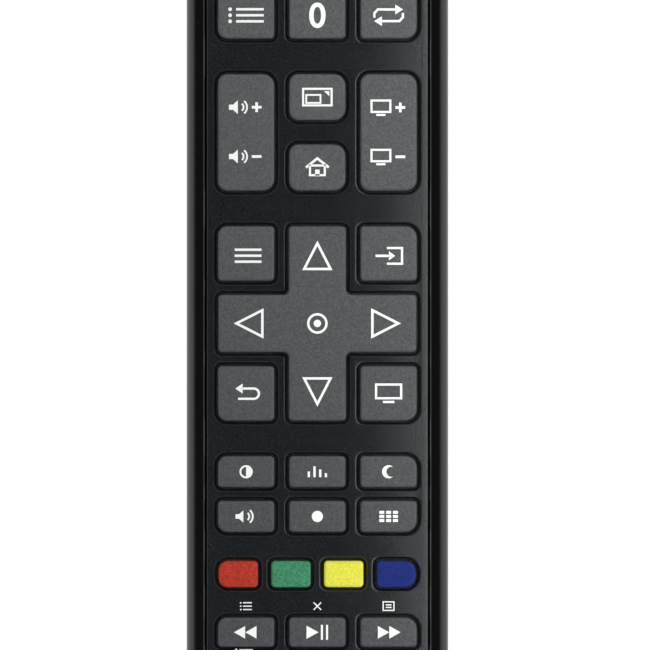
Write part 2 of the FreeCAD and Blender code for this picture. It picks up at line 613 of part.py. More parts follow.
def make_cross():
    """The navigation cross and the loose contact pills under it."""
    def draw(sketch):
        outline(sketch, cross_sides(), cross_corners())

    body = key_cap("cross_pad", cross_base, draw)
    add_post(body, "RightPost", cross_base, side_contact, across="Sizes.cross_post_offset")
    add_post(body, "LeftPost", cross_base, side_contact, across="-Sizes.cross_post_offset")
    upper_end = f"({side_contact} + Sizes.pill_thickness + Sizes.pill_clearance)"
    add_post(body, "HeadPost", cross_base, upper_end, along="Sizes.cross_post_offset")
    add_post(body, "FootPost", cross_base, upper_end, along="-Sizes.cross_post_offset")
    tip = f"({cross_pivot} + Sizes.post_radius)"
    add_post(body, "MiddlePost", cross_base, tip)
    dome = new_sketch(body, "DomeOutline", role="XZ_Plane")
    radius = now("Sizes.post_radius")
    centre_z = now(tip)
    quarter = math.pi / 2
    middle = Vector(0, centre_z, 0)
    dome.addGeometry([
        Part.LineSegment(Vector(0, centre_z, 0), Vector(0, centre_z - radius, 0)),
        Part.ArcOfCircle(Part.Circle(middle, Vector(0, 0, 1), radius), -quarter, 0),
        Part.LineSegment(Vector(radius, centre_z, 0), Vector(0, centre_z, 0)),
    ])
    tie(dome, [
        (Sketcher.Constraint("Coincident", 0, 2, 1, 1), None),
        (Sketcher.Constraint("Coincident", 1, 2, 2, 1), None),
        (Sketcher.Constraint("Coincident", 2, 2, 0, 1), None),
        (Sketcher.Constraint("Coincident", 1, 3, 0, 1), None),
        (Sketcher.Constraint("Vertical", 0), None),
        (Sketcher.Constraint("Horizontal", 2), None),
        (Sketcher.Constraint("PointOnObject", 0, 1, -2), None),
        (Sketcher.Constraint("Radius", 1, radius), "Sizes.post_radius"),
        (Sketcher.Constraint("DistanceY", -1, 1, 0, 1, centre_z), tip),
    ])
    tip_dome = body.newObject("PartDesign::Revolution", "Dome")
    tip_dome.Profile = dome
    tip_dome.ReferenceAxis = (dome, ["V_Axis"])
    tip_dome.Angle = 360
    place_at(body, None, cross_row)
    keep(body, "cross_pad")

    pill = new_body("cross_centre_pill")
    sketch = new_sketch(pill, "PillOutline", lift=centre_contact)
    circle(sketch, "Sizes.post_radius")
    pad(pill, "Pill", sketch, "Sizes.pill_thickness")
    place_at(pill, None, cross_row)
    keep(pill, "cross_centre_pill")

    pills = []
    for name, along in (("HeadPill", "Sizes.cross_post_offset"), ("FootPill", "-Sizes.cross_post_offset")):
        disc = doc.addObject("Part::Cylinder", name)
        disc.setExpression("Radius", "Sizes.post_radius")
        disc.setExpression("Height", "Sizes.pill_thickness")
        place_at(disc, None, along, side_contact)
        pills.append(disc)
    pair = doc.addObject("Part::Compound", "cross_side_pills")
    pair.Links = pills
    place_at(pair, None, cross_row)
    keep(pair, "cross_side_pills")


def post_places():
    """Where the contact posts pass through the mat: across and along."""
    places = [(across, along) for name, across, along, width, length, large in KEYS]
    for name, across in ROCKERS:
        places.append((across, f"{rocker_row} + Layout.rocker_post_y"))
        places.append((across, f"{rocker_row} - Layout.rocker_post_y"))
    places.append((MIDDLE, cross_row))
    for sign in "+-":
        places.append((MIDDLE, f"{cross_row} {sign} Sizes.cross_post_offset"))
        places.append((f"{MIDDLE} {sign} Sizes.cross_post_offset", cross_row))
    return places


def make_mat():
    """The flat base of the rubber keypad, with a hole for each contact post."""
    sheet_body = new_body("MatSheet")
    sketch = new_sketch(sheet_body, "MatOutline", lift=board_top)
    half = f"({well_half} - Sizes.mat_margin)"
    end = f"({well_end} - Sizes.mat_margin)"
    box_outline(sketch, f"-{half}", half, f"-{end}", end, "Sizes.large_corner")
    pad(sheet_body, "Mat", sketch, "Sizes.mat_thickness")
    holes = []
    for number, (across, along) in enumerate(post_places()):
        hole = doc.addObject("Part::Cylinder", f"PostHole{number}")
        hole.setExpression("Radius", "Sizes.post_radius + Sizes.post_clearance")
        hole.setExpression("Height", "3 * Sizes.mat_thickness")
        place_at(hole, across, along, f"{board_top} - Sizes.mat_thickness")
        holes.append(hole)
    group = doc.addObject("Part::Compound", "PostHoles")
    group.Links = holes
    mat = doc.addObject("Part::Cut", "keypad_mat")
    mat.Base = sheet_body
    mat.Tool = group
    keep(mat, "keypad_mat")


def rounded_wire(half_x, half_y, radii, height):
    """A rounded rectangle at one height. Radii: head right, head left, foot left, foot right."""
    signs = [(1, 1), (-1, 1), (-1, -1), (1, -1)]
    edges = []
    previous = None
    first = None
    for number, (sx, sy) in enumerate(signs):
        radius = radii[number]
        middle = Vector(sx * (half_x - radius), sy * (half_y - radius), height)
        start_angle = math.pi / 2 * number
        begin = middle + Vector(math.cos(start_angle), math.sin(start_angle), 0) * radius
        halfway = start_angle + math.pi / 4
        bend = middle + Vector(math.cos(halfway), math.sin(halfway), 0) * radius
        end_angle = start_angle + math.pi / 2
        end = middle + Vector(math.cos(end_angle), math.sin(end_angle), 0) * radius
        if previous is not None:
            edges.append(Part.makeLine(previous, begin))
        else:
            first = begin
        edges.append(Part.Arc(begin, bend, end).toShape())
        previous = end
    edges.append(Part.makeLine(previous, first))
    return Part.Wire(edges)


def cross_wire(grow, height):
    """The outline of the cross at one height, grown on all sides, with sharp corners."""
    points = []
    sides = cross_sides(str(grow))
    for number, (kind, formula) in enumerate(sides):
        following = sides[(number + 1) % len(sides)][1]
        if kind == "x":
            points.append(Vector(now(formula), now(following), height))
        else:
            points.append(Vector(now(following), now(formula), height))
    return Part.makePolygon(points + points[:1])


def make_webs():
    """Thin sloping skirts between the keys and the mat, one round each key."""
    thickness = now("Sizes.web_thickness")
    flare = now("Sizes.web_flare")
    low = now(mat_top)
    least_radius = 0.05

    def skirt(wire_at, high):
        outer = Part.makeLoft([wire_at(flare, low), wire_at(-thickness / 2, high)], True, True)
        inner = Part.makeLoft([wire_at(flare - thickness, low), wire_at(-1.5 * thickness, high)], True, True)
        return outer.cut(inner)

    rows = [(across, along, width, length, large, now(key_base))
            for name, across, along, width, length, large in KEYS]
    rows += [(across, rocker_row, "key_width", "rocker_length", ALL_CORNERS, now(key_base))
             for name, across in ROCKERS]
    skirts = []
    for across, along, width, length, large, high in rows:
        half_x = now(f"Layout.{width}") / 2
        half_y = now(f"Layout.{length}") / 2
        corners = [now(formula) for formula in corner_formulas(large)]

        def key_wire(grow, height):
            radii = [max(radius + grow, least_radius) for radius in corners]
            return rounded_wire(half_x + grow, half_y + grow, radii, height)

        ring = skirt(key_wire, high)
        ring.translate(Vector(now(across), now(along), 0))
        skirts.append(ring)
    ring = skirt(cross_wire, now(cross_base))
    ring.translate(Vector(0, now(cross_row), 0))
    skirts.append(ring)
    webs = doc.addObject("Part::Feature", "keypad_webs")
    webs.Shape = Part.makeCompound(skirts)
    keep(webs, "keypad_webs")


def make_face_plate():
    """The matte plate that the keys stand in."""
    blank = new_body("PlateBlank")
    sketch = new_sketch(blank, "PlateOutline", lift=plate_seat)
    body_outline(sketch, plate_inset)
    pad(blank, "Plate", sketch, "Sizes.plate_thickness")
    cutters = []

    def add_cutter(name, draw, across, along):
        shape = doc.addObject("Sketcher::SketchObject", name + "Opening")
        draw(shape)
        cutter = doc.addObject("Part::Extrusion", name + "Cutter")
        cutter.Base = shape
        cutter.DirMode = "Custom"
        cutter.Dir = Vector(0, 0, 1)
        cutter.Solid = True
        cutter.setExpression("LengthFwd", "3 * Sizes.plate_thickness")
        place_at(cutter, across, along, f"{plate_seat} - Sizes.plate_thickness")
        cutters.append(cutter)

    for name, across, along, width, length, large in KEYS:
        def draw(shape, width=width, length=length, large=large):
            rectangle(shape, f"Layout.{width} + 2 * Sizes.key_gap", f"Layout.{length} + 2 * Sizes.key_gap",
                      corner_formulas(large, "Sizes.key_gap"))
        add_cutter(name, draw, across, along)
    for name, across in ROCKERS:
        def draw(shape):
            rectangle(shape, "Layout.key_width + 2 * Sizes.key_gap",
                      "Layout.rocker_length + 2 * Sizes.key_gap",
                      corner_formulas(ALL_CORNERS, "Sizes.key_gap"))
        add_cutter(name, draw, across, rocker_row)

    def draw(shape):
        outline(shape, cross_sides("Sizes.key_gap"), cross_corners("Sizes.key_gap"))
    add_cutter("cross", draw, None, cross_row)
    group = doc.addObject("Part::Compound", "KeyOpenings")
    group.Links = cutters
    plate = doc.addObject("Part::Cut", "face_plate")
    plate.Base = blank
    plate.Tool = group
    keep(plate, "face_plate")


def window_sketch(body, name, lift, half, outer_inset, inner_inset):
    """A strip that follows the bow of the infrared end between two insets."""
    sketch = new_sketch(body, name, lift=lift)
    middle_y = now(f"{half_length} - Sizes.end_bow_radius")
    reach = now(half)
    outer = now(f"Sizes.end_bow_radius - ({outer_inset})")
    inner = now(f"Sizes.end_bow_radius - ({inner_inset})")
    middle = Vector(0, middle_y, 0)
    up = Vector(0, 0, 1)

    def lean(radius):
        return math.asin(reach / radius)

    def point(radius, side):
        return Vector(side * reach, middle_y + radius * math.cos(lean(radius)), 0)

    quarter = math.pi / 2
    sketch.addGeometry([
        Part.ArcOfCircle(Part.Circle(middle, up, outer), quarter - lean(outer), quarter + lean(outer)),
        Part.LineSegment(point(outer, -1), point(inner, -1)),
        Part.ArcOfCircle(Part.Circle(middle, up, inner), quarter - lean(inner), quarter + lean(inner)),
        Part.LineSegment(point(inner, 1), point(outer, 1)),
    ])
    tie(sketch, [
        (Sketcher.Constraint("Coincident", 0, 2, 1, 1), None),
        (Sketcher.Constraint("Coincident", 1, 2, 2, 2), None),
        (Sketcher.Constraint("Coincident", 2, 1, 3, 1), None),
        (Sketcher.Constraint("Coincident", 3, 2, 0, 1), None),
        (Sketcher.Constraint("Vertical", 1), None),
        (Sketcher.Constraint("Vertical", 3), None),
        (Sketcher.Constraint("Coincident", 0, 3, 2, 3), None),
        (Sketcher.Constraint("PointOnObject", 0, 3, -2), None),
        (Sketcher.Constraint("DistanceY", -1, 1, 0, 3, middle_y),
         f"{half_length} - Sizes.end_bow_radius"),
        (Sketcher.Constraint("Radius", 0, outer), f"Sizes.end_bow_radius - ({outer_inset})"),
        (Sketcher.Constraint("Radius", 2, inner), f"Sizes.end_bow_radius - ({inner_inset})"),
        (Sketcher.Constraint("DistanceX", -1, 1, 1, 1, -reach), f"-({half})"),
        (Sketcher.Constraint("DistanceX", -1, 1, 3, 1, reach), half),
    ])
    return sketch


def cut_window(body):
    """The opening for the infrared window, through the end wall."""
    sketch = new_sketch(body, "WindowOpening", lift="Sizes.window_low")
    half = "(Sizes.window_width / 2)"
    box_outline(sketch, f"-{half}", half, f"{half_length} - 2 * Sizes.wall",
                f"{half_length} + Sizes.wall")
    pocket(body, "WindowCut", sketch, "Sizes.window_high - Sizes.window_low", up=True)


def make_window():
    """The dark window in front of the infrared lamp, with a rim behind the wall."""
    body = new_body("ir_window")
    face_half = "(Sizes.window_width / 2 - Sizes.fit_clearance)"
    rim_half = "(Sizes.window_width / 2 + Sizes.window_flange)"
    pane = window_sketch(body, "PaneOutline", "Sizes.window_low + Sizes.fit_clearance", face_half,
                         "0 * Sizes.wall", "Sizes.wall")
    pad(body, "Pane", pane, "Sizes.window_high - Sizes.window_low - 2 * Sizes.fit_clearance")
    inner = "Sizes.wall + Sizes.fit_clearance / 2 + Sizes.window_flange / 2"
    rim = window_sketch(body, "RimOutline", "Sizes.window_low - Sizes.window_flange / 2", rim_half,
                        "Sizes.wall", inner)
    pad(body, "Rim", rim, "Sizes.window_high - Sizes.window_low + Sizes.window_flange")
    keep(body, "ir_window")


def make_upper_case():
    """The gloss upper half: sides, rails, and the ledge under the face plate."""
    body = new_body("upper_case")
    shell = new_sketch(body, "ShellOutline", lift="Sizes.split_height")
    body_outline(shell, "0 * Sizes.wall")
    block = pad(body, "Shell", shell, "Sizes.body_height - Sizes.split_height")
    doc.recompute()
    fillet(body, "RailEdges", block, edges_at(block.Shape, now("Sizes.body_height")),
           "Sizes.rail_edge_radius")
    hollow = new_sketch(body, "HollowOutline", lift="Sizes.split_height")
    body_outline(hollow, "Sizes.wall")
    pocket(body, "Hollow", hollow, f"{board_top} - Sizes.split_height", up=True)
    rabbet = new_sketch(body, "RabbetOutline", lift="Sizes.split_height")
    body_outline(rabbet, "Sizes.wall - Sizes.lip_thickness - Sizes.fit_clearance")
    pocket(body, "Rabbet", rabbet, "Sizes.lip_height + Sizes.fit_clearance", up=True)
    recess = new_sketch(body, "PlateRecess", lift="Sizes.body_height")
    body_outline(recess, "Layout.rail_width")
    pocket(body, "Recess", recess, f"Sizes.body_height - {plate_seat}")
    well = new_sketch(body, "WellOutline", lift="Sizes.body_height")
    box_outline(well, f"-{well_half}", well_half, f"-{well_end}", well_end, "Sizes.large_corner")
    pocket(body, "Well", well, "Sizes.body_height - Sizes.split_height")
    cut_window(body)
    for side, name in (("-", "Left"), ("", "Right")):
        boss = new_sketch(body, name + "BossOutline", lift=board_top)
        circle(boss, "Sizes.boss_radius", f"{side}Sizes.screw_x", screw_y)
        pad(body, name + "Boss", boss, f"{board_top} - Sizes.boss_joint", down=True)
        hole = new_sketch(body, name + "HoleOutline", lift="Sizes.boss_joint")
        circle(hole, "Sizes.screw_radius + Sizes.fit_clearance / 4", f"{side}Sizes.screw_x", screw_y)
        depth = f"{screw_seat} + Sizes.screw_length + Sizes.screw_radius - Sizes.boss_joint"
        pocket(body, name + "Hole", hole, depth, up=True)
    keep(body, "upper_case")


def make_lower_case():
    """The gloss lower half with its battery bay, board posts and screw bosses."""
    body = new_body("lower_case")
    shell = new_sketch(body, "ShellOutline")
    body_outline(shell, "0 * Sizes.wall")
    block = pad(body, "Shell", shell, "Sizes.split_height")
    doc.recompute()
    fillet(body, "BackEdges", block, edges_at(block.Shape, 0), "Sizes.back_edge_radius")
    hollow = new_sketch(body, "HollowOutline", lift="Sizes.split_height")
    body_outline(hollow, "Sizes.wall")
    cavity = pocket(body, "Hollow", hollow, "Sizes.split_height - Sizes.wall")
    doc.recompute()
    inner_half = now(half_width) - now("Sizes.wall") + 0.01
    floor_edges = edges_at(cavity.Shape, now("Sizes.wall"),
                           wanted=lambda edge: edge.BoundBox.XMax < inner_half)
    fillet(body, "FloorEdges", cavity, floor_edges, "Sizes.back_edge_radius - Sizes.wall")

    lip = new_sketch(body, "LipOutline", lift="Sizes.split_height")
    body_outline(lip, "Sizes.wall - Sizes.lip_thickness")
    body_outline(lip, "Sizes.wall")
    pad(body, "Lip", lip, "Sizes.lip_height")

    bay_floor = new_sketch(body, "BayFloorOutline", lift=floor_base)
    half = f"({tongue_half} + Sizes.wall)"
    foot = f"(Sizes.floor_end_gap - {half_length})"
    box_outline(bay_floor, f"-{half}", half, foot, f"{cover_head} + Sizes.wall", "Sizes.corner_radius")
    pad(body, "BayFloor", bay_floor, "Sizes.bay_floor")
    box = new_sketch(body, "BayOutline", lift=floor_base)
    half = f"({bay_half} + Sizes.bay_wall)"
    box_outline(box, f"-{half}", half, f"{bay_foot} - Sizes.bay_wall", f"{bay_head} + Sizes.bay_wall")
    pad(body, "Bay", box, f"{board_base} - {floor_base}")
    for side, name in (("-", "Left"), ("", "Right")):
        boss = new_sketch(body, name + "BossOutline", lift=floor_base)
        circle(boss, "Sizes.boss_radius", f"{side}Sizes.screw_x", screw_y)
        pad(body, name + "Boss", boss, f"Sizes.boss_joint - {floor_base}")
        for level, along in (("Low", "Layout.support_low_y"), ("High", "Layout.support_high_y")):
            support = new_sketch(body, name + level + "SupportOutline", lift="Sizes.wall / 2")
            circle(support, "Sizes.support_radius", f"{side}{support_x}", along)
            pad(body, name + level + "Support", support, f"{board_base} - Sizes.wall / 2")

    room = new_sketch(body, "BayRoom")
    box_outline(room, f"-{bay_half}", bay_half, bay_foot, bay_head)
    pocket(body, "BayRoomCut", room, bay_top, up=True)
    slot = new_sketch(body, "CoverSlot")
    half = "(Sizes.cover_width / 2 + Sizes.fit_clearance)"
    beyond = f"-({half_length} + Sizes.wall)"
    head = f"({cover_head} + Sizes.fit_clearance)"
    box_outline(slot, f"-{half}", half, beyond, head)
    pocket(body, "CoverSlotCut", slot, floor_base, up=True)
    lip_top = "(Sizes.cover_thickness - Sizes.tongue_thickness - Sizes.fit_clearance)"
    runner = new_sketch(body, "RunnerSlot", lift=lip_top)
    half = f"({tongue_half} + Sizes.fit_clearance)"
    box_outline(runner, f"-{half}", half, beyond, head)
    pocket(body, "RunnerSlotCut", runner, f"{floor_base} - {lip_top}", up=True)
    for side, name in (("-", "Left"), ("", "Right")):
        hole = new_sketch(body, name + "HoleOutline")
        circle(hole, "Sizes.screw_radius + Sizes.fit_clearance / 4", f"{side}Sizes.screw_x", screw_y)
        pocket(body, name + "Hole", hole, "Sizes.boss_joint", up=True)
        head_room = new_sketch(body, name + "HeadOutline")
        circle(head_room, "Sizes.screw_head_radius + Sizes.fit_clearance", f"{side}Sizes.screw_x", screw_y)
        pocket(body, name + "HeadRoom", head_room, screw_seat, up=True)
    for sign, name in (("-", "Plus"), ("", "Minus")):
        slit = new_sketch(body, name + "TabSlit", lift=floor_base)
        west = f"{sign}{cell_x} - Sizes.tab_width / 2 - Sizes.fit_clearance"
        east = f"{sign}{cell_x} + Sizes.tab_width / 2 + Sizes.fit_clearance"
        south = f"{bay_head} - Sizes.contact_thickness - Sizes.fit_clearance"
        box_outline(slit, west, east, south, bay_head)
        pocket(body, name + "TabSlitCut", slit, f"{board_base} - {floor_base} + Sizes.wall", up=True)
    cut_window(body)
    keep(body, "lower_case")


def make_cover():
    """The sliding battery cover, trimmed to the rounded back of the body."""
    blank = new_body("CoverBlank")
    half = "(Sizes.cover_width / 2)"
    beyond = f"-({half_length} + Sizes.wall)"
    face = new_sketch(blank, "FaceOutline")
    box_outline(face, f"-{half}", half, beyond, cover_head)
    pad(blank, "Face", face, "Sizes.cover_thickness")
    runner_base = "(Sizes.cover_thickness - Sizes.tongue_thickness)"
    runner = new_sketch(blank, "RunnerOutline", lift=runner_base)
    box_outline(runner, f"-{tongue_half}", tongue_half, beyond, cover_head)
    pad(blank, "Runner", runner, "Sizes.tongue_thickness")
    groove = new_sketch(blank, "GrooveOutline")
    grip = f"({cover_head} - Sizes.cover_overlap - Sizes.wall)"
    box_outline(groove, "-Sizes.grip_width / 2", "Sizes.grip_width / 2",
                f"{grip} - Sizes.grip_groove", grip)
    cut = pocket(blank, "Groove", groove, "Sizes.grip_depth", up=True)
    rows = blank.newObject("PartDesign::LinearPattern", "Grooves")
    rows.Originals = [cut]
    rows.Direction = (groove, ["V_Axis"])
    rows.Reversed = True
    rows.Mode = "Spacing"
    rows.setExpression("Offset", "Sizes.grip_pitch")
    rows.setExpression("Occurrences", "Sizes.grip_count")
    blank.Tip = rows
    form = new_body("BackForm")
    shell = new_sketch(form, "FormOutline")
    body_outline(shell, "0 * Sizes.wall")
    block = pad(form, "Form", shell, "Sizes.split_height")
    doc.recompute()
    fillet(form, "FormEdges", block, edges_at(block.Shape, 0), "Sizes.back_edge_radius")
    cover = doc.addObject("Part::Common", "battery_cover")
    cover.Base = blank
    cover.Tool = form
    keep(cover, "battery_cover")


def make_cell(name, side, turn):
    """A size AAA cell. Its plus pole points along Y, or back where it is turned."""
    body = new_body(name)
    sketch = new_sketch(body, "CellProfile")
    radius = now("Sizes.cell_radius")
    nub = now("Sizes.nub_radius")
    end = now("Sizes.cell_length / 2")
    shoulder = now("Sizes.cell_length / 2 - Sizes.nub_height")
    corners = [Vector(0, -end, 0), Vector(radius, -end, 0), Vector(radius, shoulder, 0),
               Vector(nub, shoulder, 0), Vector(nub, end, 0), Vector(0, end, 0)]
    count = len(corners)
    lines = [Part.LineSegment(corners[number], corners[(number + 1) % count]) for number in range(count)]
    sketch.addGeometry(lines)
    ties = [(Sketcher.Constraint("Coincident", number, 2, (number + 1) % count, 1), None)
            for number in range(count)]
    for number in (0, 2, 4):
        ties.append((Sketcher.Constraint("Horizontal", number), None))
    for number in (1, 3, 5):
        ties.append((Sketcher.Constraint("Vertical", number), None))
    ties += [
        (Sketcher.Constraint("PointOnObject", 0, 1, -2), None),
        (Sketcher.Constraint("DistanceX", -1, 1, 1, 1, radius), "Sizes.cell_radius"),
        (Sketcher.Constraint("DistanceX", -1, 1, 3, 2, nub), "Sizes.nub_radius"),
        (Sketcher.Constraint("DistanceY", -1, 1, 0, 1, -end), "-Sizes.cell_length / 2"),
        (Sketcher.Constraint("DistanceY", -1, 1, 2, 1, shoulder),
         "Sizes.cell_length / 2 - Sizes.nub_height"),
        (Sketcher.Constraint("DistanceY", -1, 1, 4, 1, end), "Sizes.cell_length / 2"),
    ]
    tie(sketch, ties)
    can = body.newObject("PartDesign::Revolution", "Can")
    can.Profile = sketch
    can.ReferenceAxis = (sketch, ["V_Axis"])
    can.Angle = 360
    doc.recompute()
    fillet(body, "Crimp", can, edges_at_y(can.Shape, -end), "Sizes.nub_height / 2")
    shift = f"({'-' if turn else ''}(Sizes.spring_length / 2))"
    body.Placement = FreeCAD.Placement(Vector(0, 0, 0), FreeCAD.Rotation(Vector(0, 0, 1), 180 if turn else 0))
    place_at(body, f"{side}{cell_x}", f"{bay_middle} + {shift}", cell_z)
    keep(body, name)


def edges_at_y(shape, along, reach=0.001):
    """Names of the edges that lie flat at one place along the body."""
    names = []
    for index, edge in enumerate(shape.Edges, start=1):
        box = edge.BoundBox
        if abs(box.YMin - along) < reach and abs(box.YMax - along) < reach:
            names.append(f"Edge{index}")
    return names


def biarc(start, start_way, finish, finish_way):
    """Two arcs that join two points smoothly with the given directions."""
    chord = finish - start
    both = start_way + finish_way
    straightness = 2 * (1 - start_way.dot(finish_way))
    mixed = chord.dot(both)
    root = math.sqrt(mixed * mixed + straightness * chord.dot(chord))
    leg = (root - mixed) / straightness
    joint = (start + finish + (start_way - finish_way) * leg) * 0.5
    arcs = []
    for begin, control, end in ((start, start + start_way * leg, joint),
                                (joint, finish - finish_way * leg, finish)):
        middle = (begin + end) * 0.5
        half_chord = (end - begin).Length / 2
        height = (control - middle).Length
        half_turn = math.atan2(height, half_chord)
        share = math.tan(half_turn / 2) / math.tan(half_turn)
        arcs.append(Part.Arc(begin, middle + (control - middle) * share, end).toShape())
    return arcs


def coil_shape():
    """A conical spring along +Y whose widest turn lies at the origin. Also its least gap to itself."""
    wire = now("Sizes.spring_wire")
    foot = now("Sizes.spring_foot_radius")
    tip = now("Sizes.spring_tip_radius")
    turns = now("Sizes.spring_turns")
    rise = now("Sizes.spring_length") - wire
    total = turns * 2 * math.pi
    steps = max(4, round(turns * 4))

    def point(angle):
        share = angle / total
        radius = foot + (tip - foot) * share
        return Vector(radius * math.cos(angle), wire / 2 + rise * share, radius * math.sin(angle))

    def way(angle):
        small = 1e-5
        return (point(angle + small) - point(angle - small)).normalize()

    edges = []
    angles = [total * number / steps for number in range(steps + 1)]
    for before, after in zip(angles, angles[1:]):
        edges += biarc(point(before), way(before), point(after), way(after))
    path = Part.Wire(edges)
    ring = Part.Wire([Part.makeCircle(wire / 2, point(0), way(0))])
    coil = path.makePipeShell([ring], True, False)
    count = 400
    samples = [point(total * number / count) for number in range(count)]
    apart = round(count / turns / 2)
    least = min((samples[i] - samples[j]).Length
                for i in range(count) for j in range(i + apart, count)) - wire
    length = sum(edge.Length for edge in edges)
    ideal = length * math.pi * wire * wire / 4
    return coil, least, ideal


def contact_plate(name, across, along, wide, tab):
    """A sheet metal contact that stands across the bay, with a tab up to the board."""
    body = new_body(name)
    sketch = new_sketch(body, "PlateOutline", lift="Sizes.cover_thickness + Sizes.cell_under_gap")
    west = f"{across} - {wide} / 2"
    east = f"{across} + {wide} / 2"
    box_outline(sketch, west, east, along, f"{along} + Sizes.contact_thickness")
    pad(body, "Plate", sketch, "2 * Sizes.cell_radius")
    if tab:
        strip = new_sketch(body, "TabOutline", lift=cell_z)
        box_outline(strip, f"{across} - Sizes.tab_width / 2", f"{across} + Sizes.tab_width / 2",
                    along, f"{along} + Sizes.contact_thickness")
        pad(body, "Tab", strip, f"{board_base} - {cell_z}")
    return body


def spring_at(name, side, foot_y, turn):
    """A cell spring on its contact plate: foot_y is the face that it stands on."""
    spring = doc.addObject("Part::Feature", name)
    coil, least, ideal = coil_shape()
    spring.Shape = coil
    print(f"{name}: least gap to itself {least:.2f}, volume {coil.Volume:.2f} of {ideal:.2f}")
    angle = 180 if turn else 0
    spring.Placement = FreeCAD.Placement(Vector(0, 0, 0), FreeCAD.Rotation(Vector(0, 0, 1), angle))
    place_at(spring, f"{side}{cell_x}", foot_y, cell_z)
    return spring


def make_contacts():
    """Both end contacts, the bridge at the foot, and the two springs."""
    head_plate = f"({bay_head} - Sizes.contact_thickness)"
    plus = contact_plate("positive_contact", f"-{cell_x}", head_plate, "Sizes.contact_width", True)
    keep(plus, "positive_contact")
    minus = contact_plate("MinusPlate", cell_x, head_plate, "Sizes.contact_width", True)
    coil = spring_at("MinusSpring", "", head_plate, True)
    pair = doc.addObject("Part::Compound", "negative_contact")
    pair.Links = [minus, coil]
    keep(pair, "negative_contact")
    wide = f"(2 * {cell_x} + Sizes.contact_width)"
    bridge = contact_plate("BridgePlate", MIDDLE, bay_foot, wide, False)
    coil = spring_at("BridgeSpring", "-", f"{bay_foot} + Sizes.contact_thickness", False)
    pair = doc.addObject("Part::Compound", "bridge_contact")
    pair.Links = [bridge, coil]
    keep(pair, "bridge_contact")


def make_screws():
    """Two screws that hold both halves together under the battery cover."""
    screws = []
    for side, name in (("-", "LeftScrew"), ("", "RightScrew")):
        body = new_body(name)
        head = new_sketch(body, "HeadOutline")
        circle(head, "Sizes.screw_head_radius")
        pad(body, "Head", head, "Sizes.screw_head_height")
        shank = new_sketch(body, "ShankOutline", lift="Sizes.screw_head_height")
        circle(shank, "Sizes.screw_radius")
        pad(body, "Shank", shank, "Sizes.screw_length")
        slot = "Sizes.screw_head_radius / 4"
        reach = "Sizes.screw_slot_reach"
        for letter, wide, long in (("A", reach, slot), ("B", slot, reach)):
            cut = new_sketch(body, "Slot" + letter)
            box_outline(cut, f"-{wide}", wide, f"-{long}", long)
            pocket(body, "SlotCut" + letter, cut, "Sizes.screw_head_height / 2", up=True)
        place_at(body, f"{side}Sizes.screw_x", screw_y, f"{floor_base} + Sizes.fit_clearance")
        screws.append(body)
    pair = doc.addObject("Part::Compound", "case_screws")
    pair.Links = screws
    keep(pair, "case_screws")


def make_board():
    """The circuit board, clamped between the bay and the ledge."""
    body = new_body("circuit_board")
    sketch = new_sketch(body, "BoardOutline", lift=board_base)
    box_outline(sketch, f"-{board_half}", board_half, f"Sizes.board_foot_gap - {half_length}",
                f"{half_length} - Sizes.board_end_gap", "Sizes.board_corner")
    pad(body, "Board", sketch, "Sizes.board_thickness")
    holes = new_sketch(body, "LeadHoles", lift=board_base)
    for side in "-+":
        circle(holes, "Sizes.lead_size", f"{MIDDLE} {side} Sizes.lead_pitch / 2", lead_y)
    pocket(body, "LeadHolesCut", holes, "Sizes.board_thickness", up=True)
    keep(body, "circuit_board")


def make_lamp():
    """The infrared lamp behind the window, with its leads bent up into the board."""
    body = new_body("ir_led")
    profile = new_sketch(body, "LampProfile")
    radius = now("Sizes.led_radius")
    dome = now("Sizes.led_length - Sizes.led_radius")
    quarter = math.pi / 2
    profile.addGeometry([
        Part.LineSegment(Vector(0, 0, 0), Vector(radius, 0, 0)),
        Part.LineSegment(Vector(radius, 0, 0), Vector(radius, dome, 0)),
        Part.ArcOfCircle(Part.Circle(Vector(0, dome, 0), Vector(0, 0, 1), radius), 0, quarter),
        Part.LineSegment(Vector(0, dome + radius, 0), Vector(0, 0, 0)),
    ])
    tie(profile, [
        (Sketcher.Constraint("Coincident", 0, 1, -1, 1), None),
        (Sketcher.Constraint("Coincident", 0, 2, 1, 1), None),
        (Sketcher.Constraint("Tangent", 1, 2, 2, 1), None),
        (Sketcher.Constraint("Coincident", 2, 2, 3, 1), None),
        (Sketcher.Constraint("Coincident", 3, 2, 0, 1), None),
        (Sketcher.Constraint("Horizontal", 0), None),
        (Sketcher.Constraint("Vertical", 3), None),
        (Sketcher.Constraint("PointOnObject", 2, 3, -2), None),
        (Sketcher.Constraint("Radius", 2, radius), "Sizes.led_radius"),
        (Sketcher.Constraint("DistanceY", -1, 1, 2, 3, dome), "Sizes.led_length - Sizes.led_radius"),
    ])
    bulb = body.newObject("PartDesign::Revolution", "Bulb")
    bulb.Profile = profile
    bulb.ReferenceAxis = (profile, ["V_Axis"])
    bulb.Angle = 360
    run = new_sketch(body, "LeadRuns", lift="-Sizes.lead_size / 2")
    rise = new_sketch(body, "LeadRises", lift="-Sizes.lead_size / 2")
    back = "3 * Sizes.lead_size"
    for side in "-+":
        west = f"{MIDDLE} {side} Sizes.lead_pitch / 2 - Sizes.lead_size / 2"
        east = f"{MIDDLE} {side} Sizes.lead_pitch / 2 + Sizes.lead_size / 2"
        box_outline(run, west, east, f"-{back} - Sizes.lead_size / 2", "0 * Sizes.lead_size")
        box_outline(rise, west, east, f"-{back} - Sizes.lead_size / 2", f"-{back} + Sizes.lead_size / 2")
    pad(body, "Runs", run, "Sizes.lead_size")
    pad(body, "Rises", rise, f"{board_top} - Sizes.led_height + Sizes.lead_size / 2")
    place_at(body, None, f"{half_length} - Sizes.led_end_gap - Sizes.led_length", "Sizes.led_height")
    keep(body, "ir_led")


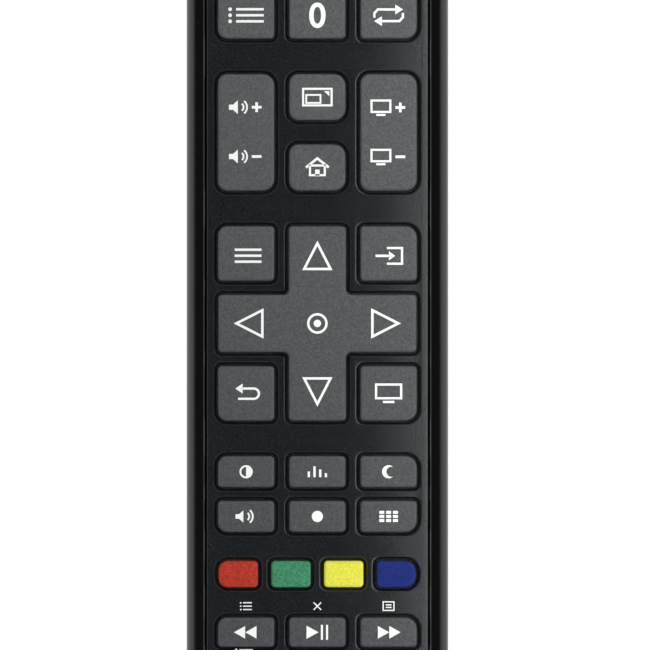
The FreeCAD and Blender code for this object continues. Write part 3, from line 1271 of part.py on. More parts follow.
def make_chip():
    """The control chip under the board, with ten legs on each side."""
    body = new_body("control_chip")
    under = "(Sizes.pin_width / 2)"
    sketch = new_sketch(body, "ChipOutline", lift=f"-{under}")
    rectangle(sketch, "Sizes.chip_width", "Sizes.chip_length")
    pad(body, "Chip", sketch, "Sizes.chip_height", down=True)
    first = "((Sizes.pin_count - 1) * Sizes.pin_pitch / 2)"
    south = f"-{first} - Sizes.pin_width / 2"
    north = f"-{first} + Sizes.pin_width / 2"
    root = "(Sizes.chip_width / 2 - Sizes.pin_width)"
    knee = "(Sizes.chip_width / 2 + Sizes.pin_reach - Sizes.pin_width)"
    end = "(Sizes.chip_width / 2 + Sizes.pin_reach)"
    toe = "(Sizes.chip_width / 2 + Sizes.pin_reach + Sizes.pin_width)"
    leg = new_sketch(body, "LegOutline", lift=f"-{under}")
    box_outline(leg, root, end, south, north)
    box_outline(leg, f"-{end}", f"-{root}", south, north)
    legs = pad(body, "Leg", leg, "Sizes.chip_height / 4", down=True)
    foot = new_sketch(body, "FootOutline")
    box_outline(foot, knee, toe, south, north)
    box_outline(foot, f"-{toe}", f"-{knee}", south, north)
    feet = pad(body, "Foot", foot, under, down=True)
    rows = body.newObject("PartDesign::LinearPattern", "Legs")
    rows.Originals = [legs, feet]
    rows.Direction = (leg, ["V_Axis"])
    rows.Mode = "Spacing"
    rows.setExpression("Offset", "Sizes.pin_pitch")
    rows.setExpression("Occurrences", "Sizes.pin_count")
    body.Tip = rows
    place_at(body, None, "Layout.chip_y", board_base)
    keep(body, "control_chip")


def make_small_parts():
    """Resonator, capacitor and resistors, all under the board."""
    block = new_body("resonator")
    sketch = new_sketch(block, "ResonatorOutline")
    rectangle(sketch, "Sizes.resonator_width", "Sizes.resonator_depth",
              ["Sizes.resonator_depth / 2 - Sizes.lead_size / 2"] * 4)
    pad(block, "Block", sketch, "Sizes.resonator_height", down=True)
    place_at(block, None, "Layout.resonator_y", board_base)
    keep(block, "resonator")

    can = new_body("capacitor")
    sketch = new_sketch(can, "CanOutline")
    circle(sketch, "Sizes.capacitor_radius")
    drum = pad(can, "Can", sketch, "Sizes.capacitor_height", down=True)
    doc.recompute()
    fillet(can, "CanEdge", drum, edges_at(drum.Shape, -now("Sizes.capacitor_height")),
           "Sizes.lead_size")
    place_at(can, "Layout.capacitor_x", "Layout.capacitor_y", board_base)
    keep(can, "capacitor")

    chips = []
    for number in range(round(now("Sizes.resistor_count"))):
        chip = doc.addObject("Part::Box", f"Resistor{number}")
        chip.setExpression("Length", "Sizes.resistor_width")
        chip.setExpression("Width", "Sizes.resistor_length")
        chip.setExpression("Height", "Sizes.resistor_height")
        place_at(chip, "Layout.resistor_x", f"Layout.resistor_y + {number} * Sizes.resistor_pitch",
                 f"{board_base} - Sizes.resistor_height")
        chips.append(chip)
    group = doc.addObject("Part::Compound", "resistors")
    group.Links = chips
    keep(group, "resistors")


def check_and_write():
    doc.recompute()
    faults = []
    for item in doc.Objects:
        if any(word in ("Invalid", "Error") for word in item.State):
            faults.append(f"{item.Name} ({item.Label}): {item.State}")
    for item in subparts:
        if item.Shape.isNull() or not item.Shape.isValid() or item.Shape.Volume <= 0:
            faults.append(f"{item.Label}: empty or not valid")
    if faults:
        raise RuntimeError("; ".join(faults))
    os.makedirs("parts", exist_ok=True)
    for item in subparts:
        item.Shape.exportStep(f"parts/{item.Label}.step")
    print(len(subparts), "sub-parts written")


for key in KEYS:
    make_key(*key)
for rocker in ROCKERS:
    make_rocker(*rocker)
make_cross()
make_mat()
make_webs()
make_face_plate()
make_upper_case()
make_lower_case()
make_cover()
make_window()
make_screws()
make_cell("battery_cell_left", "-", False)
make_cell("battery_cell_right", "", True)
make_contacts()
make_board()
make_lamp()
make_chip()
make_small_parts()
check_and_write()
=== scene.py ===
import json
import math
import bmesh
import bpy
from mathutils import Matrix, Vector
from mathutils.geometry import delaunay_2d_cdt

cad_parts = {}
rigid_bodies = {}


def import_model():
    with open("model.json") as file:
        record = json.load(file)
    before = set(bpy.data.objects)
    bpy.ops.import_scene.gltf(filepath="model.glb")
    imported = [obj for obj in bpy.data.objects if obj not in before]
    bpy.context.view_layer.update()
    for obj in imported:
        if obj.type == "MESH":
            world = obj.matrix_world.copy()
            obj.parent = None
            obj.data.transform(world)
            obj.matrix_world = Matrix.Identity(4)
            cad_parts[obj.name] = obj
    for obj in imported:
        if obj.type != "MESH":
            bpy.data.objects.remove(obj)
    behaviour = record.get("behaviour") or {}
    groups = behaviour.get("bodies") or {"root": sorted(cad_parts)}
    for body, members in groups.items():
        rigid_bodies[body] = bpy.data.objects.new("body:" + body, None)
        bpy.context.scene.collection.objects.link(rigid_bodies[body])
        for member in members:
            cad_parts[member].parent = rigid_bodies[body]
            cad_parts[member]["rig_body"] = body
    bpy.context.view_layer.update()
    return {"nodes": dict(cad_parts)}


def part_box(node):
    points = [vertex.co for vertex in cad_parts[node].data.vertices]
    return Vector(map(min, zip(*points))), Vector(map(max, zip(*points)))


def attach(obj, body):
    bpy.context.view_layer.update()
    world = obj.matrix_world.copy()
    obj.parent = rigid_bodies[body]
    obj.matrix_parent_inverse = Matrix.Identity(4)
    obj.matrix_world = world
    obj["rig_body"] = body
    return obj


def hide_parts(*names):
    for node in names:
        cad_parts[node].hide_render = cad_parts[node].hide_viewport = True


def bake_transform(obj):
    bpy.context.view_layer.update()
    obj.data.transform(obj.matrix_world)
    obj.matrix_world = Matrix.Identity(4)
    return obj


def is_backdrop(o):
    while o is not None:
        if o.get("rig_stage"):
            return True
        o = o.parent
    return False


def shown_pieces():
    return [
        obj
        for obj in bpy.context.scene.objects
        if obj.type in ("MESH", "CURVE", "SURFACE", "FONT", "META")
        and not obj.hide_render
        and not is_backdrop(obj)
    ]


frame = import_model()
nodes = frame["nodes"]
collection = bpy.context.scene.collection
mm = 0.001
weld = 0.000001        # points nearer than this are one, in metres
print("frame loaded:", len(nodes), "nodes")


# Finishes: colours are linear, grain counts are per metre, bump heights are metres.

# where a noise counts as low or high, and how fine each noise is
noiseForm = {"calm": 0.3, "busy": 0.7, "dark": 0.33, "light": 0.67,
             "grainDetail": 3.0, "grainRoughness": 0.6, "speckDetail": 1.0,
             "wearDetail": 4.0, "wearRoughness": 0.55}
plainLook = {"specular": 0.5, "metallic": 0.0, "coat": 0.0, "coatRoughness": 0.03, "clear": 0.0}
socketOf = {"specular": "Specular IOR Level", "metallic": "Metallic", "coat": "Coat Weight",
            "coatRoughness": "Coat Roughness", "clear": "Transmission Weight"}


def newMaterial(name):
    material = bpy.data.materials.new(name)
    material.use_nodes = True
    shader = material.node_tree.nodes["Principled BSDF"]
    return material, material.node_tree, shader


def link(tree, fromSocket, toSocket):
    tree.links.new(fromSocket, toSocket)


def noiseOn(tree, coords, scale, detail, roughness=0.5):
    noise = tree.nodes.new("ShaderNodeTexNoise")
    noise.inputs["Scale"].default_value = scale
    noise.inputs["Detail"].default_value = detail
    noise.inputs["Roughness"].default_value = roughness
    link(tree, coords, noise.inputs["Vector"])
    return noise.outputs["Fac"]


def ramp(tree, fac, stops):
    node = tree.nodes.new("ShaderNodeValToRGB")
    elements = node.color_ramp.elements
    while len(elements) < len(stops):
        elements.new(0.5)
    for element, (place, colour) in zip(elements, stops):
        element.position = place
        element.color = (*colour, 1.0)
    link(tree, fac, node.inputs["Fac"])
    return node.outputs["Color"]


def spread(tree, fac, low, high):
    node = tree.nodes.new("ShaderNodeMapRange")
    node.inputs["From Min"].default_value = noiseForm["calm"]
    node.inputs["From Max"].default_value = noiseForm["busy"]
    node.inputs["To Min"].default_value = low
    node.inputs["To Max"].default_value = high
    link(tree, fac, node.inputs["Value"])
    return node.outputs["Result"]


def shade(colour, factor):
    return tuple(min(1.0, part * factor) for part in colour)


def grainMaterial(name, look):
    material, tree, shader = newMaterial(name)
    coords = tree.nodes.new("ShaderNodeTexCoord").outputs["Object"]
    colour, mottle = look["colour"], look["mottle"]
    grain = noiseOn(tree, coords, look["grain"], noiseForm["grainDetail"],
                    noiseForm["grainRoughness"])
    tone = ramp(tree, grain, [(noiseForm["dark"], shade(colour, 1 - mottle)),
                              (noiseForm["light"], shade(colour, 1 + mottle))])
    if "specks" in look:
        dots = noiseOn(tree, coords, look["specks"]["count"], noiseForm["speckDetail"])
        low, high = look["specks"]["edge"]
        mask = ramp(tree, dots, [(low, (0, 0, 0)), (high, (1, 1, 1))])
        mix = tree.nodes.new("ShaderNodeMix")
        mix.data_type = "RGBA"
        link(tree, mask, mix.inputs["Factor"])
        link(tree, tone, mix.inputs[6])        # colour sockets, which share their names
        mix.inputs[7].default_value = (*look["specks"]["colour"], 1.0)
        tone = mix.outputs[2]
    link(tree, tone, shader.inputs["Base Color"])
    patches = noiseOn(tree, coords, look["wear"], noiseForm["wearDetail"],
                      noiseForm["wearRoughness"])
    rough = spread(tree, patches, look["roughness"] - look["roughSpread"],
                   look["roughness"] + look["roughSpread"])
    link(tree, rough, shader.inputs["Roughness"])
    bump = tree.nodes.new("ShaderNodeBump")
    bump.inputs["Strength"].default_value = look["bump"]
    bump.inputs["Distance"].default_value = look["bumpHeight"]
    link(tree, grain, bump.inputs["Height"])
    link(tree, bump.outputs["Normal"], shader.inputs["Normal"])
    for part, socket in socketOf.items():
        shader.inputs[socket].default_value = look.get(part, plainLook[part])
    return material


rubber = {"grain": 3000.0, "mottle": 0.34, "wear": 260.0, "roughness": 0.62,
          "roughSpread": 0.05, "bump": 0.6, "bumpHeight": 0.00005, "specular": 0.3}
coloured = {**rubber, "specular": 0.16}
looks = {
    "gloss_housing": {"colour": (0.0032, 0.0033, 0.0038), "grain": 900.0, "mottle": 0.10,
                      "wear": 90.0, "roughness": 0.12, "roughSpread": 0.03, "bump": 0.04,
                      "bumpHeight": 0.000004, "coat": 0.05, "coatRoughness": 0.05,
                      "specks": {"count": 2600.0, "edge": (0.80, 0.83),
                                 "colour": (0.03, 0.03, 0.032)}},
    "matte_plate": {"colour": (0.0076, 0.0098, 0.0120), "grain": 3200.0, "mottle": 0.7,
                    "wear": 150.0, "roughness": 0.245, "roughSpread": 0.02, "bump": 0.55,
                    "bumpHeight": 0.00008, "specular": 0.6,
                    "specks": {"count": 2100.0, "edge": (0.75, 0.78),
                               "colour": (0.034, 0.038, 0.042)}},
    "key_rubber": {**rubber, "colour": (0.0394, 0.0428, 0.0441)},
    "red_rubber": {**coloured, "colour": (0.31, 0.0235, 0.0125)},
    "green_rubber": {**coloured, "colour": (0.033, 0.170, 0.084)},
    "yellow_rubber": {**coloured, "colour": (0.515, 0.50, 0.050), "mottle": 0.15},
    "blue_rubber": {**coloured, "colour": (0.004, 0.0125, 0.112)},
    "dark_window": {"colour": (0.030, 0.0035, 0.007), "grain": 400.0, "mottle": 0.05, "wear": 60.0,
                    "roughness": 0.05, "roughSpread": 0.015, "bump": 0.02,
                    "bumpHeight": 0.000003, "specular": 0.32},
    "mat_rubber": {**rubber, "colour": (0.085, 0.090, 0.093)},
    "carbon_pill": {**rubber, "colour": (0.012, 0.012, 0.012), "roughness": 0.75},
    "board_laminate": {"colour": (0.30, 0.17, 0.055), "grain": 1800.0, "mottle": 0.15,
                       "wear": 120.0, "roughness": 0.48, "roughSpread": 0.06, "bump": 0.25,
                       "bumpHeight": 0.00003, "specular": 0.4},
    "chip_epoxy": {"colour": (0.014, 0.014, 0.015), "grain": 3000.0, "mottle": 0.2, "wear": 200.0,
                   "roughness": 0.6, "roughSpread": 0.06, "bump": 0.4, "bumpHeight": 0.00002},
    "amber_dip": {"colour": (0.55, 0.20, 0.025), "grain": 500.0, "mottle": 0.12, "wear": 150.0,
                  "roughness": 0.22, "roughSpread": 0.05, "bump": 0.3, "bumpHeight": 0.00004},
    "capacitor_sleeve": {"colour": (0.010, 0.014, 0.035), "grain": 700.0, "mottle": 0.12,
                         "wear": 120.0, "roughness": 0.3, "roughSpread": 0.05, "bump": 0.15,
                         "bumpHeight": 0.00002},
    "resistor_ceramic": {"colour": (0.03, 0.03, 0.032), "grain": 2500.0, "mottle": 0.2,
                         "wear": 300.0, "roughness": 0.4, "roughSpread": 0.08, "bump": 0.3,
                         "bumpHeight": 0.00002},
    "lamp_lens": {"colour": (0.10, 0.08, 0.12), "grain": 300.0, "mottle": 0.08, "wear": 100.0,
                  "roughness": 0.08, "roughSpread": 0.02, "bump": 0.05, "bumpHeight": 0.00001,
                  "clear": 0.55},
    "contact_metal": {"colour": (0.62, 0.60, 0.55), "grain": 1500.0, "mottle": 0.10, "wear": 250.0,
                      "roughness": 0.28, "roughSpread": 0.08, "bump": 0.2, "bumpHeight": 0.00001,
                      "metallic": 1.0},
    "screw_steel": {"colour": (0.23, 0.23, 0.24), "grain": 2000.0, "mottle": 0.12, "wear": 300.0,
                    "roughness": 0.35, "roughSpread": 0.08, "bump": 0.25, "bumpHeight": 0.00001,
                    "metallic": 1.0},
    "key_print": {"colour": (0.66, 0.665, 0.66), "grain": 7000.0, "mottle": 0.05, "wear": 900.0,
                  "roughness": 0.55, "roughSpread": 0.06, "bump": 0.25, "bumpHeight": 0.00001,
                  "specular": 0.3},
}
finish = {name: grainMaterial(name, look) for name, look in looks.items()}
print("finishes made:", len(finish))


def newPiece(name, mesh, body, material):
    piece = bpy.data.objects.new(name, mesh)
    collection.objects.link(piece)
    mesh.materials.clear()
    mesh.materials.append(material)
    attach(piece, body)
    return piece


def plainMesh(piece, name):
    graph = bpy.context.evaluated_depsgraph_get()
    mesh = bpy.data.meshes.new_from_object(piece.evaluated_get(graph), depsgraph=graph)
    mesh.name = name
    return mesh


def bakeModifiers(piece):
    mesh = plainMesh(piece, piece.name)
    piece.modifiers.clear()
    piece.data = mesh
    return piece


def roundedLoop(corners, offset, steps):
    leastBend = 10 * weld
    points = []
    count = len(corners)
    for number, (x, y, radius) in enumerate(corners):
        here = Vector((x, y))
        before = (here - Vector(corners[number - 1][:2])).normalized()
        after = (Vector(corners[(number + 1) % count][:2]) - here).normalized()
        outward = Vector((before.y, -before.x)) + Vector((after.y, -after.x))
        here = here + outward * offset
        turn = 1 if before.cross(after) > 0 else -1
        bend = max(radius + turn * offset, leastBend)
        middle = here - before * bend + after * bend
        for step in range(steps + 1):
            angle = math.pi / 2 * step / steps
            swing = before * math.sin(angle) - after * math.cos(angle)
            points.append(middle + swing * bend)
    return points


def bowedLoop(body, inset, steps):
    half = body["width"] / 2 - inset
    corner = body["corner"] - inset
    bow = body["bow"] - inset
    bowMiddle = body["length"] / 2 - body["bow"]
    cornerX = half - corner
    cornerY = bowMiddle + math.sqrt((bow - corner) ** 2 - cornerX ** 2)
    lean = math.atan2(cornerX, cornerY - bowMiddle)
    quarter = math.pi / 2
    arcs = [(cornerX, cornerY, corner, 0, quarter - lean, "runs on"),
            (0, bowMiddle, bow, quarter - lean, quarter + lean, "runs on"),
            (-cornerX, cornerY, corner, quarter + lean, 2 * quarter, "meets side"),
            (-cornerX, -cornerY, corner, 2 * quarter, 3 * quarter - lean, "runs on"),
            (0, -bowMiddle, bow, 3 * quarter - lean, 3 * quarter + lean, "runs on"),
            (cornerX, -cornerY, corner, 3 * quarter + lean, 4 * quarter, "meets side")]
    points = []
    for x, y, radius, begin, end, after in arcs:
        count = steps if after == "runs on" else steps + 1      # a shared point is made once
        for step in range(count):
            angle = begin + (end - begin) * step / steps
            points.append(Vector((x + radius * math.cos(angle), y + radius * math.sin(angle))))
    return points


def ringVerts(work, loop, z):
    return [work.verts.new((point.x, point.y, z)) for point in loop]


def bridge(work, low, high):
    count = len(low)
    for number in range(count):
        following = (number + 1) % count
        work.faces.new((low[number], low[following], high[following], high[number]))


def shadeSmooth(mesh, angle=35):
    mesh.polygons.foreach_set("use_smooth", [True] * len(mesh.polygons))
    mesh.set_sharp_from_angle(angle=math.radians(angle))


def weightNormals(piece):
    piece.modifiers.new("evenNormals", "WEIGHTED_NORMAL").keep_sharp = True
    return bakeModifiers(piece)


keyCap = {
    "cornerSteps": 8,
    "edge": 0.55 * mm,
    "edgeSteps": 5,
    "sharpAngle": 50,
    "base": 16.93 * mm,
    "crossBase": 17.35 * mm,       # heights above the flat back
    "smallCorner": 0.68 * mm,
    "leftCorner": 1.6 * mm,
    "rightCorner": 2.0 * mm,
    "gap": 0.45 * mm,              # between a key and its opening
    "printRise": 0.02 * mm,
    "printDepth": 0.03 * mm,
    "postRadius": 1.5 * mm,
    "postSides": 32,
    "postEdge": 0.1 * mm,
    "domeSteps": 8,
    "rockerPosts": 6.6 * mm,       # from the rocker's middle
    "ribHalfWidth": 3.0 * mm,
    "ribRadius": 0.5 * mm,
    "ribSteps": 10,
    "ribBottom": 15.94 * mm,
}

allCorners = ("headLeft", "headRight", "footLeft", "footRight")
keyCorners = {
    "power_key": allCorners, "mute_key": allCorners, "aspect_key": allCorners,
    "home_key": allCorners, "volume_rocker": allCorners, "channel_rocker": allCorners,
    "digit_1_key": ("headLeft",), "digit_3_key": ("headRight",),
    "list_key": ("footLeft",), "recall_key": ("footRight",),
    "menu_key": ("headLeft",), "source_key": ("headRight",),
    "exit_key": ("footLeft",), "display_key": ("footRight",),
    "picture_key": ("headLeft",), "sleep_key": ("headRight",),
    "audio_key": ("footLeft",), "guide_key": ("footRight",),
    "red_key": ("headLeft", "footLeft"), "blue_key": ("headRight", "footRight"),
    "rewind_key": ("headLeft",), "forward_key": ("headRight",),
    "previous_key": ("footLeft",), "next_key": ("footRight",),
    "digit_2_key": (), "digit_4_key": (), "digit_5_key": (), "digit_6_key": (),
    "digit_7_key": (), "digit_8_key": (), "digit_9_key": (), "digit_0_key": (),
    "sound_key": (), "record_key": (), "green_key": (), "yellow_key": (),
    "play_key": (), "stop_key": (),
}
colouredKeys = {"red_key": "red_rubber", "green_key": "green_rubber",
                "yellow_key": "yellow_rubber", "blue_key": "blue_rubber"}


def keyMiddle(node):
    low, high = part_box(node)
    return (low + high) / 2


def keyTop(node):
    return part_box(node)[1].z


def keyOutline(node):
    low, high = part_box(node)
    order = ((high.x, low.y, "footRight"), (high.x, high.y, "headRight"),
             (low.x, high.y, "headLeft"), (low.x, low.y, "footLeft"))
    corners = []
    for x, y, corner in order:
        size = "smallCorner"
        if corner in keyCorners[node]:
            size = "rightCorner" if corner.endswith("Right") else "leftCorner"
        corners.append((x, y, keyCap[size]))
    return corners


crossArm = {"half": 5.025 * mm, "inner": 1.0 * mm, "postOffset": 12.3 * mm,
            "sidePost": 15.994 * mm, "endPost": 16.79 * mm}


def crossOutline():
    middle = keyMiddle("cross_pad")
    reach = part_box("cross_pad")[1] - middle
    arm, inner, outer = crossArm["half"], crossArm["inner"], keyCap["smallCorner"]
    steps = [(reach.x, -arm, outer), (reach.x, arm, outer), (arm, arm, inner),
             (arm, reach.y, outer), (-arm, reach.y, outer), (-arm, arm, inner),
             (-reach.x, arm, outer), (-reach.x, -arm, outer), (-arm, -arm, inner),
             (-arm, -reach.y, outer), (arm, -reach.y, outer), (arm, -arm, inner)]
    return [(middle.x + x, middle.y + y, radius) for x, y, radius in steps]


def capTree():
    tree = bpy.data.node_groups.new("keyCapTree", "GeometryNodeTree")
    face = tree.interface
    face.new_socket("Geometry", in_out="INPUT", socket_type="NodeSocketGeometry")
    for label in ("Base Height", "Cap Height"):
        face.new_socket(label, in_out="INPUT", socket_type="NodeSocketFloat")
    face.new_socket("Corner Steps", in_out="INPUT", socket_type="NodeSocketInt")
    face.new_socket("Finish", in_out="INPUT", socket_type="NodeSocketMaterial")
    face.new_socket("Geometry", in_out="OUTPUT", socket_type="NodeSocketGeometry")
    make = tree.nodes.new
    given = make("NodeGroupInput")
    result = make("NodeGroupOutput")
    outline = make("GeometryNodeMeshToCurve")
    corner = make("GeometryNodeInputNamedAttribute")
    corner.data_type = "FLOAT"
    corner.inputs["Name"].default_value = "corner"
    rounded = make("GeometryNodeFilletCurve")
    rounded.mode = "POLY"
    filled = make("GeometryNodeFillCurve")
    filled.mode = "NGONS"
    lift = make("ShaderNodeCombineXYZ")
    lowered = make("GeometryNodeSetPosition")
    grown = make("GeometryNodeExtrudeMesh")
    grown.inputs["Individual"].default_value = False
    flipped = make("GeometryNodeFlipFaces")
    joined = make("GeometryNodeJoinGeometry")
    merged = make("GeometryNodeMergeByDistance")
    merged.inputs["Distance"].default_value = weld
    real = make("GeometryNodeRealizeInstances")
    painted = make("GeometryNodeSetMaterial")
    link(tree, given.outputs["Geometry"], outline.inputs["Mesh"])
    link(tree, outline.outputs["Curve"], rounded.inputs["Curve"])
    link(tree, corner.outputs["Attribute"], rounded.inputs["Radius"])
    link(tree, given.outputs["Corner Steps"], rounded.inputs["Count"])
    link(tree, rounded.outputs["Curve"], filled.inputs["Curve"])
    link(tree, filled.outputs["Mesh"], lowered.inputs["Geometry"])
    link(tree, given.outputs["Base Height"], lift.inputs["Z"])
    link(tree, lift.outputs["Vector"], lowered.inputs["Offset"])
    link(tree, lowered.outputs["Geometry"], grown.inputs["Mesh"])
    link(tree, given.outputs["Cap Height"], grown.inputs["Offset Scale"])
    link(tree, lowered.outputs["Geometry"], flipped.inputs["Mesh"])
    link(tree, grown.outputs["Mesh"], joined.inputs["Geometry"])
    link(tree, flipped.outputs["Mesh"], joined.inputs["Geometry"])
    link(tree, joined.outputs["Geometry"], merged.inputs["Geometry"])
    link(tree, merged.outputs["Geometry"], real.inputs["Geometry"])
    link(tree, real.outputs["Geometry"], painted.inputs["Geometry"])
    link(tree, given.outputs["Finish"], painted.inputs["Material"])
    link(tree, painted.outputs["Geometry"], result.inputs["Geometry"])
    return tree


def socketId(tree, label):
    return [item.identifier for item in tree.interface.items_tree
            if item.name == label and item.in_out == "INPUT"][0]


capNodes = capTree()


def addPost(work, x, y, bottom, top, domed=False):
    radius, edge = keyCap["postRadius"], keyCap["postEdge"]
    sides, steps = keyCap["postSides"], keyCap["domeSteps"]
    profile = [(radius - edge, bottom), (radius, bottom + edge)]      # worn contact edge
    if domed:
        angles = [math.pi / 2 * step / steps for step in range(1, steps + 1)]
        profile = [(radius * math.sin(angle), bottom + radius * (1 - math.cos(angle)))
                   for angle in angles]
    profile.append((radius, top))
    circle = [(math.cos(2 * math.pi * side / sides), math.sin(2 * math.pi * side / sides))
              for side in range(sides)]
    rings = [[work.verts.new((x + reach * across, y + reach * along, z))
              for across, along in circle] for reach, z in profile]
    for lower, upper in zip(rings, rings[1:]):
        bridge(work, lower, upper)
    work.faces.new(rings[-1])
    if domed:
        pole = work.verts.new((x, y, bottom))
        for side in range(sides):
            work.faces.new((rings[0][(side + 1) % sides], rings[0][side], pole))
    else:
        work.faces.new(rings[0][::-1])


def addRib(work, x, y, top):
    radius = keyCap["ribRadius"]
    half = keyCap["ribHalfWidth"]
    heart = keyCap["ribBottom"] + radius
    steps = keyCap["ribSteps"]
    outline = [(radius, top), (-radius, top)]
    for step in range(steps + 1):
        angle = math.pi * step / steps
        outline.append((-radius * math.cos(angle), heart - radius * math.sin(angle)))
    left = [work.verts.new((x - half, y + along, z)) for along, z in outline]
    right = [work.verts.new((x + half, y + along, z)) for along, z in outline]
    bridge(work, left, right)
    work.faces.new(left[::-1])
    work.faces.new(right)


def makeCap(node, corners, base, posts, finishName):
    middle = keyMiddle(node)
    top = keyTop(node) - keyCap["printRise"]
    mesh = bpy.data.meshes.new(node + "Outline")
    count = len(corners)
    mesh.from_pydata([(x, y, 0) for x, y, radius in corners],
                     [(number, (number + 1) % count) for number in range(count)], [])
    attribute = mesh.attributes.new("corner", "FLOAT", "POINT")
    attribute.data.foreach_set("value", [radius for x, y, radius in corners])
    piece = bpy.data.objects.new(node + "_cap", mesh)
    collection.objects.link(piece)
    modifier = piece.modifiers.new("cap", "NODES")
    modifier.node_group = capNodes
    modifier[socketId(capNodes, "Base Height")] = base
    modifier[socketId(capNodes, "Cap Height")] = top - base
    modifier[socketId(capNodes, "Corner Steps")] = keyCap["cornerSteps"]
    modifier[socketId(capNodes, "Finish")] = finish[finishName]
    bevel = piece.modifiers.new("topEdges", "BEVEL")
    bevel.width = keyCap["edge"]
    bevel.segments = keyCap["edgeSteps"]
    bevel.limit_method = "ANGLE"
    bevel.angle_limit = math.radians(keyCap["sharpAngle"])
    bevel.harden_normals = True
    bakeModifiers(piece)
    work = bmesh.new()
    work.from_mesh(piece.data)
    for postX, postY, bottom, domed in posts:
        addPost(work, middle.x + postX, middle.y + postY, bottom, base + keyCap["edge"], domed)
    if node.endswith("_rocker"):
        addRib(work, middle.x, middle.y, base + keyCap["edge"])
    bmesh.ops.recalc_face_normals(work, faces=work.faces)
    work.to_mesh(piece.data)
    work.free()
    piece.data.materials.clear()
    piece.data.materials.append(finish[finishName])
    piece.data.polygons.foreach_set("material_index", [0] * len(piece.data.polygons))
    shadeSmooth(piece.data, keyCap["sharpAngle"])
    weightNormals(piece)
    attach(piece, node)
    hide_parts(node)


for node in keyCorners:
    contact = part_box(node)[0].z
    posts = [(0, 0, contact, False)]
    if node.endswith("_rocker"):
        posts = [(0, side * keyCap["rockerPosts"], contact, False) for side in (1, -1)]
    makeCap(node, keyOutline(node), keyCap["base"], posts, colouredKeys.get(node, "key_rubber"))
crossPosts = [(0, 0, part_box("cross_pad")[0].z, True)]      # a domed post in the middle
for side in (crossArm["postOffset"], -crossArm["postOffset"]):
    crossPosts += [(side, 0, crossArm["sidePost"], False), (0, side, crossArm["endPost"], False)]
makeCap("cross_pad", crossOutline(), keyCap["crossBase"], crossPosts, "key_rubber")
print("key caps made:", len(keyCorners) + 1)


# a skirt flares at its foot and is narrowest at waistAt, a share of its height
webForm = {"thickness": 0.3 * mm, "flare": 0.8 * mm, "foot": 15.9 * mm, "overlap": 0.12 * mm,
           "waist": 0.42 * mm, "waistAt": 0.8, "levels": 5, "cornerSteps": 6,
           "crossRings": ((0, 0.4), (0.4, 0.8), (0.8, 1))}


def webReach(share):
    flare, waist, waistAt = webForm["flare"], webForm["waist"], webForm["waistAt"]
    if share <= waistAt:
        return flare + (waist - flare) * share / waistAt
    return waist - (waist + webForm["thickness"] / 2) * (share - waistAt) / (1 - waistAt)


def makeWeb(name, corners, span, part):
    foot, head = span                      # heights of the whole skirt
    begin, end = part                      # the part of it that this ring covers
    thick, steps, levels = webForm["thickness"], webForm["cornerSteps"], webForm["levels"]
    work = bmesh.new()
    outer, inner = [], []
    for level in range(levels + 1):
        share = begin + (end - begin) * level / levels
        reach = webReach(share)
        z = foot + (head - foot) * share
        outer.append(ringVerts(work, roundedLoop(corners, reach, steps), z))
        inner.append(ringVerts(work, roundedLoop(corners, reach - thick, steps), z))
    loops = outer + inner[::-1]
    for number, loop in enumerate(loops):
        bridge(work, loop, loops[(number + 1) % len(loops)])
    bmesh.ops.recalc_face_normals(work, faces=work.faces)
    mesh = bpy.data.meshes.new(name)
    work.to_mesh(mesh)
    work.free()
    mesh.materials.append(finish["mat_rubber"])
    shadeSmooth(mesh)
    piece = bpy.data.objects.new(name, mesh)
    collection.objects.link(piece)
    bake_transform(piece)
    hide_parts("keypad_webs")


for node in keyCorners:
    span = (webForm["foot"], keyCap["base"] + webForm["overlap"])
    makeWeb(node + "_web", keyOutline(node), span, (0, 1))
span = (webForm["foot"], keyCap["crossBase"] + webForm["overlap"])
for number, part in enumerate(webForm["crossRings"]):      # one ring for each joint of the cross
    makeWeb(f"cross_pad_web_{number + 1}", crossOutline(), span, part)
print("skirts made:", len(keyCorners) + len(webForm["crossRings"]))


bodyForm = {"width": 46.0 * mm, "length": 195.0 * mm, "corner": 7.0 * mm, "bow": 100.0 * mm}
facePlate = {"inset": 3.6 * mm, "lip": 0.5 * mm, "lipSteps": 5, "rim": 0.18 * mm,
             "cornerSteps": 8, "arcSteps": 10, "sharpAngle": 40,
             "fillGap": 0.0001}      # in millimetres


def insideLoop(x, y, loop):
    hit = False
    before = loop[-1]
    for point in loop:
        if (point.y > y) != (before.y > y):
            cut = before.x + (y - before.y) / (point.y - before.y) * (point.x - before.x)
            if x < cut:
                hit = not hit
        before = point
    return hit


def lipRings(radius):
    low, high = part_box("face_plate")
    steps = facePlate["lipSteps"]
    rings = [(0.0, low.z)]
    for step in range(steps + 1):
        angle = math.pi / 2 * step / steps
        rings.append((radius * (1 - math.cos(angle)), high.z - radius + radius * math.sin(angle)))
    return rings


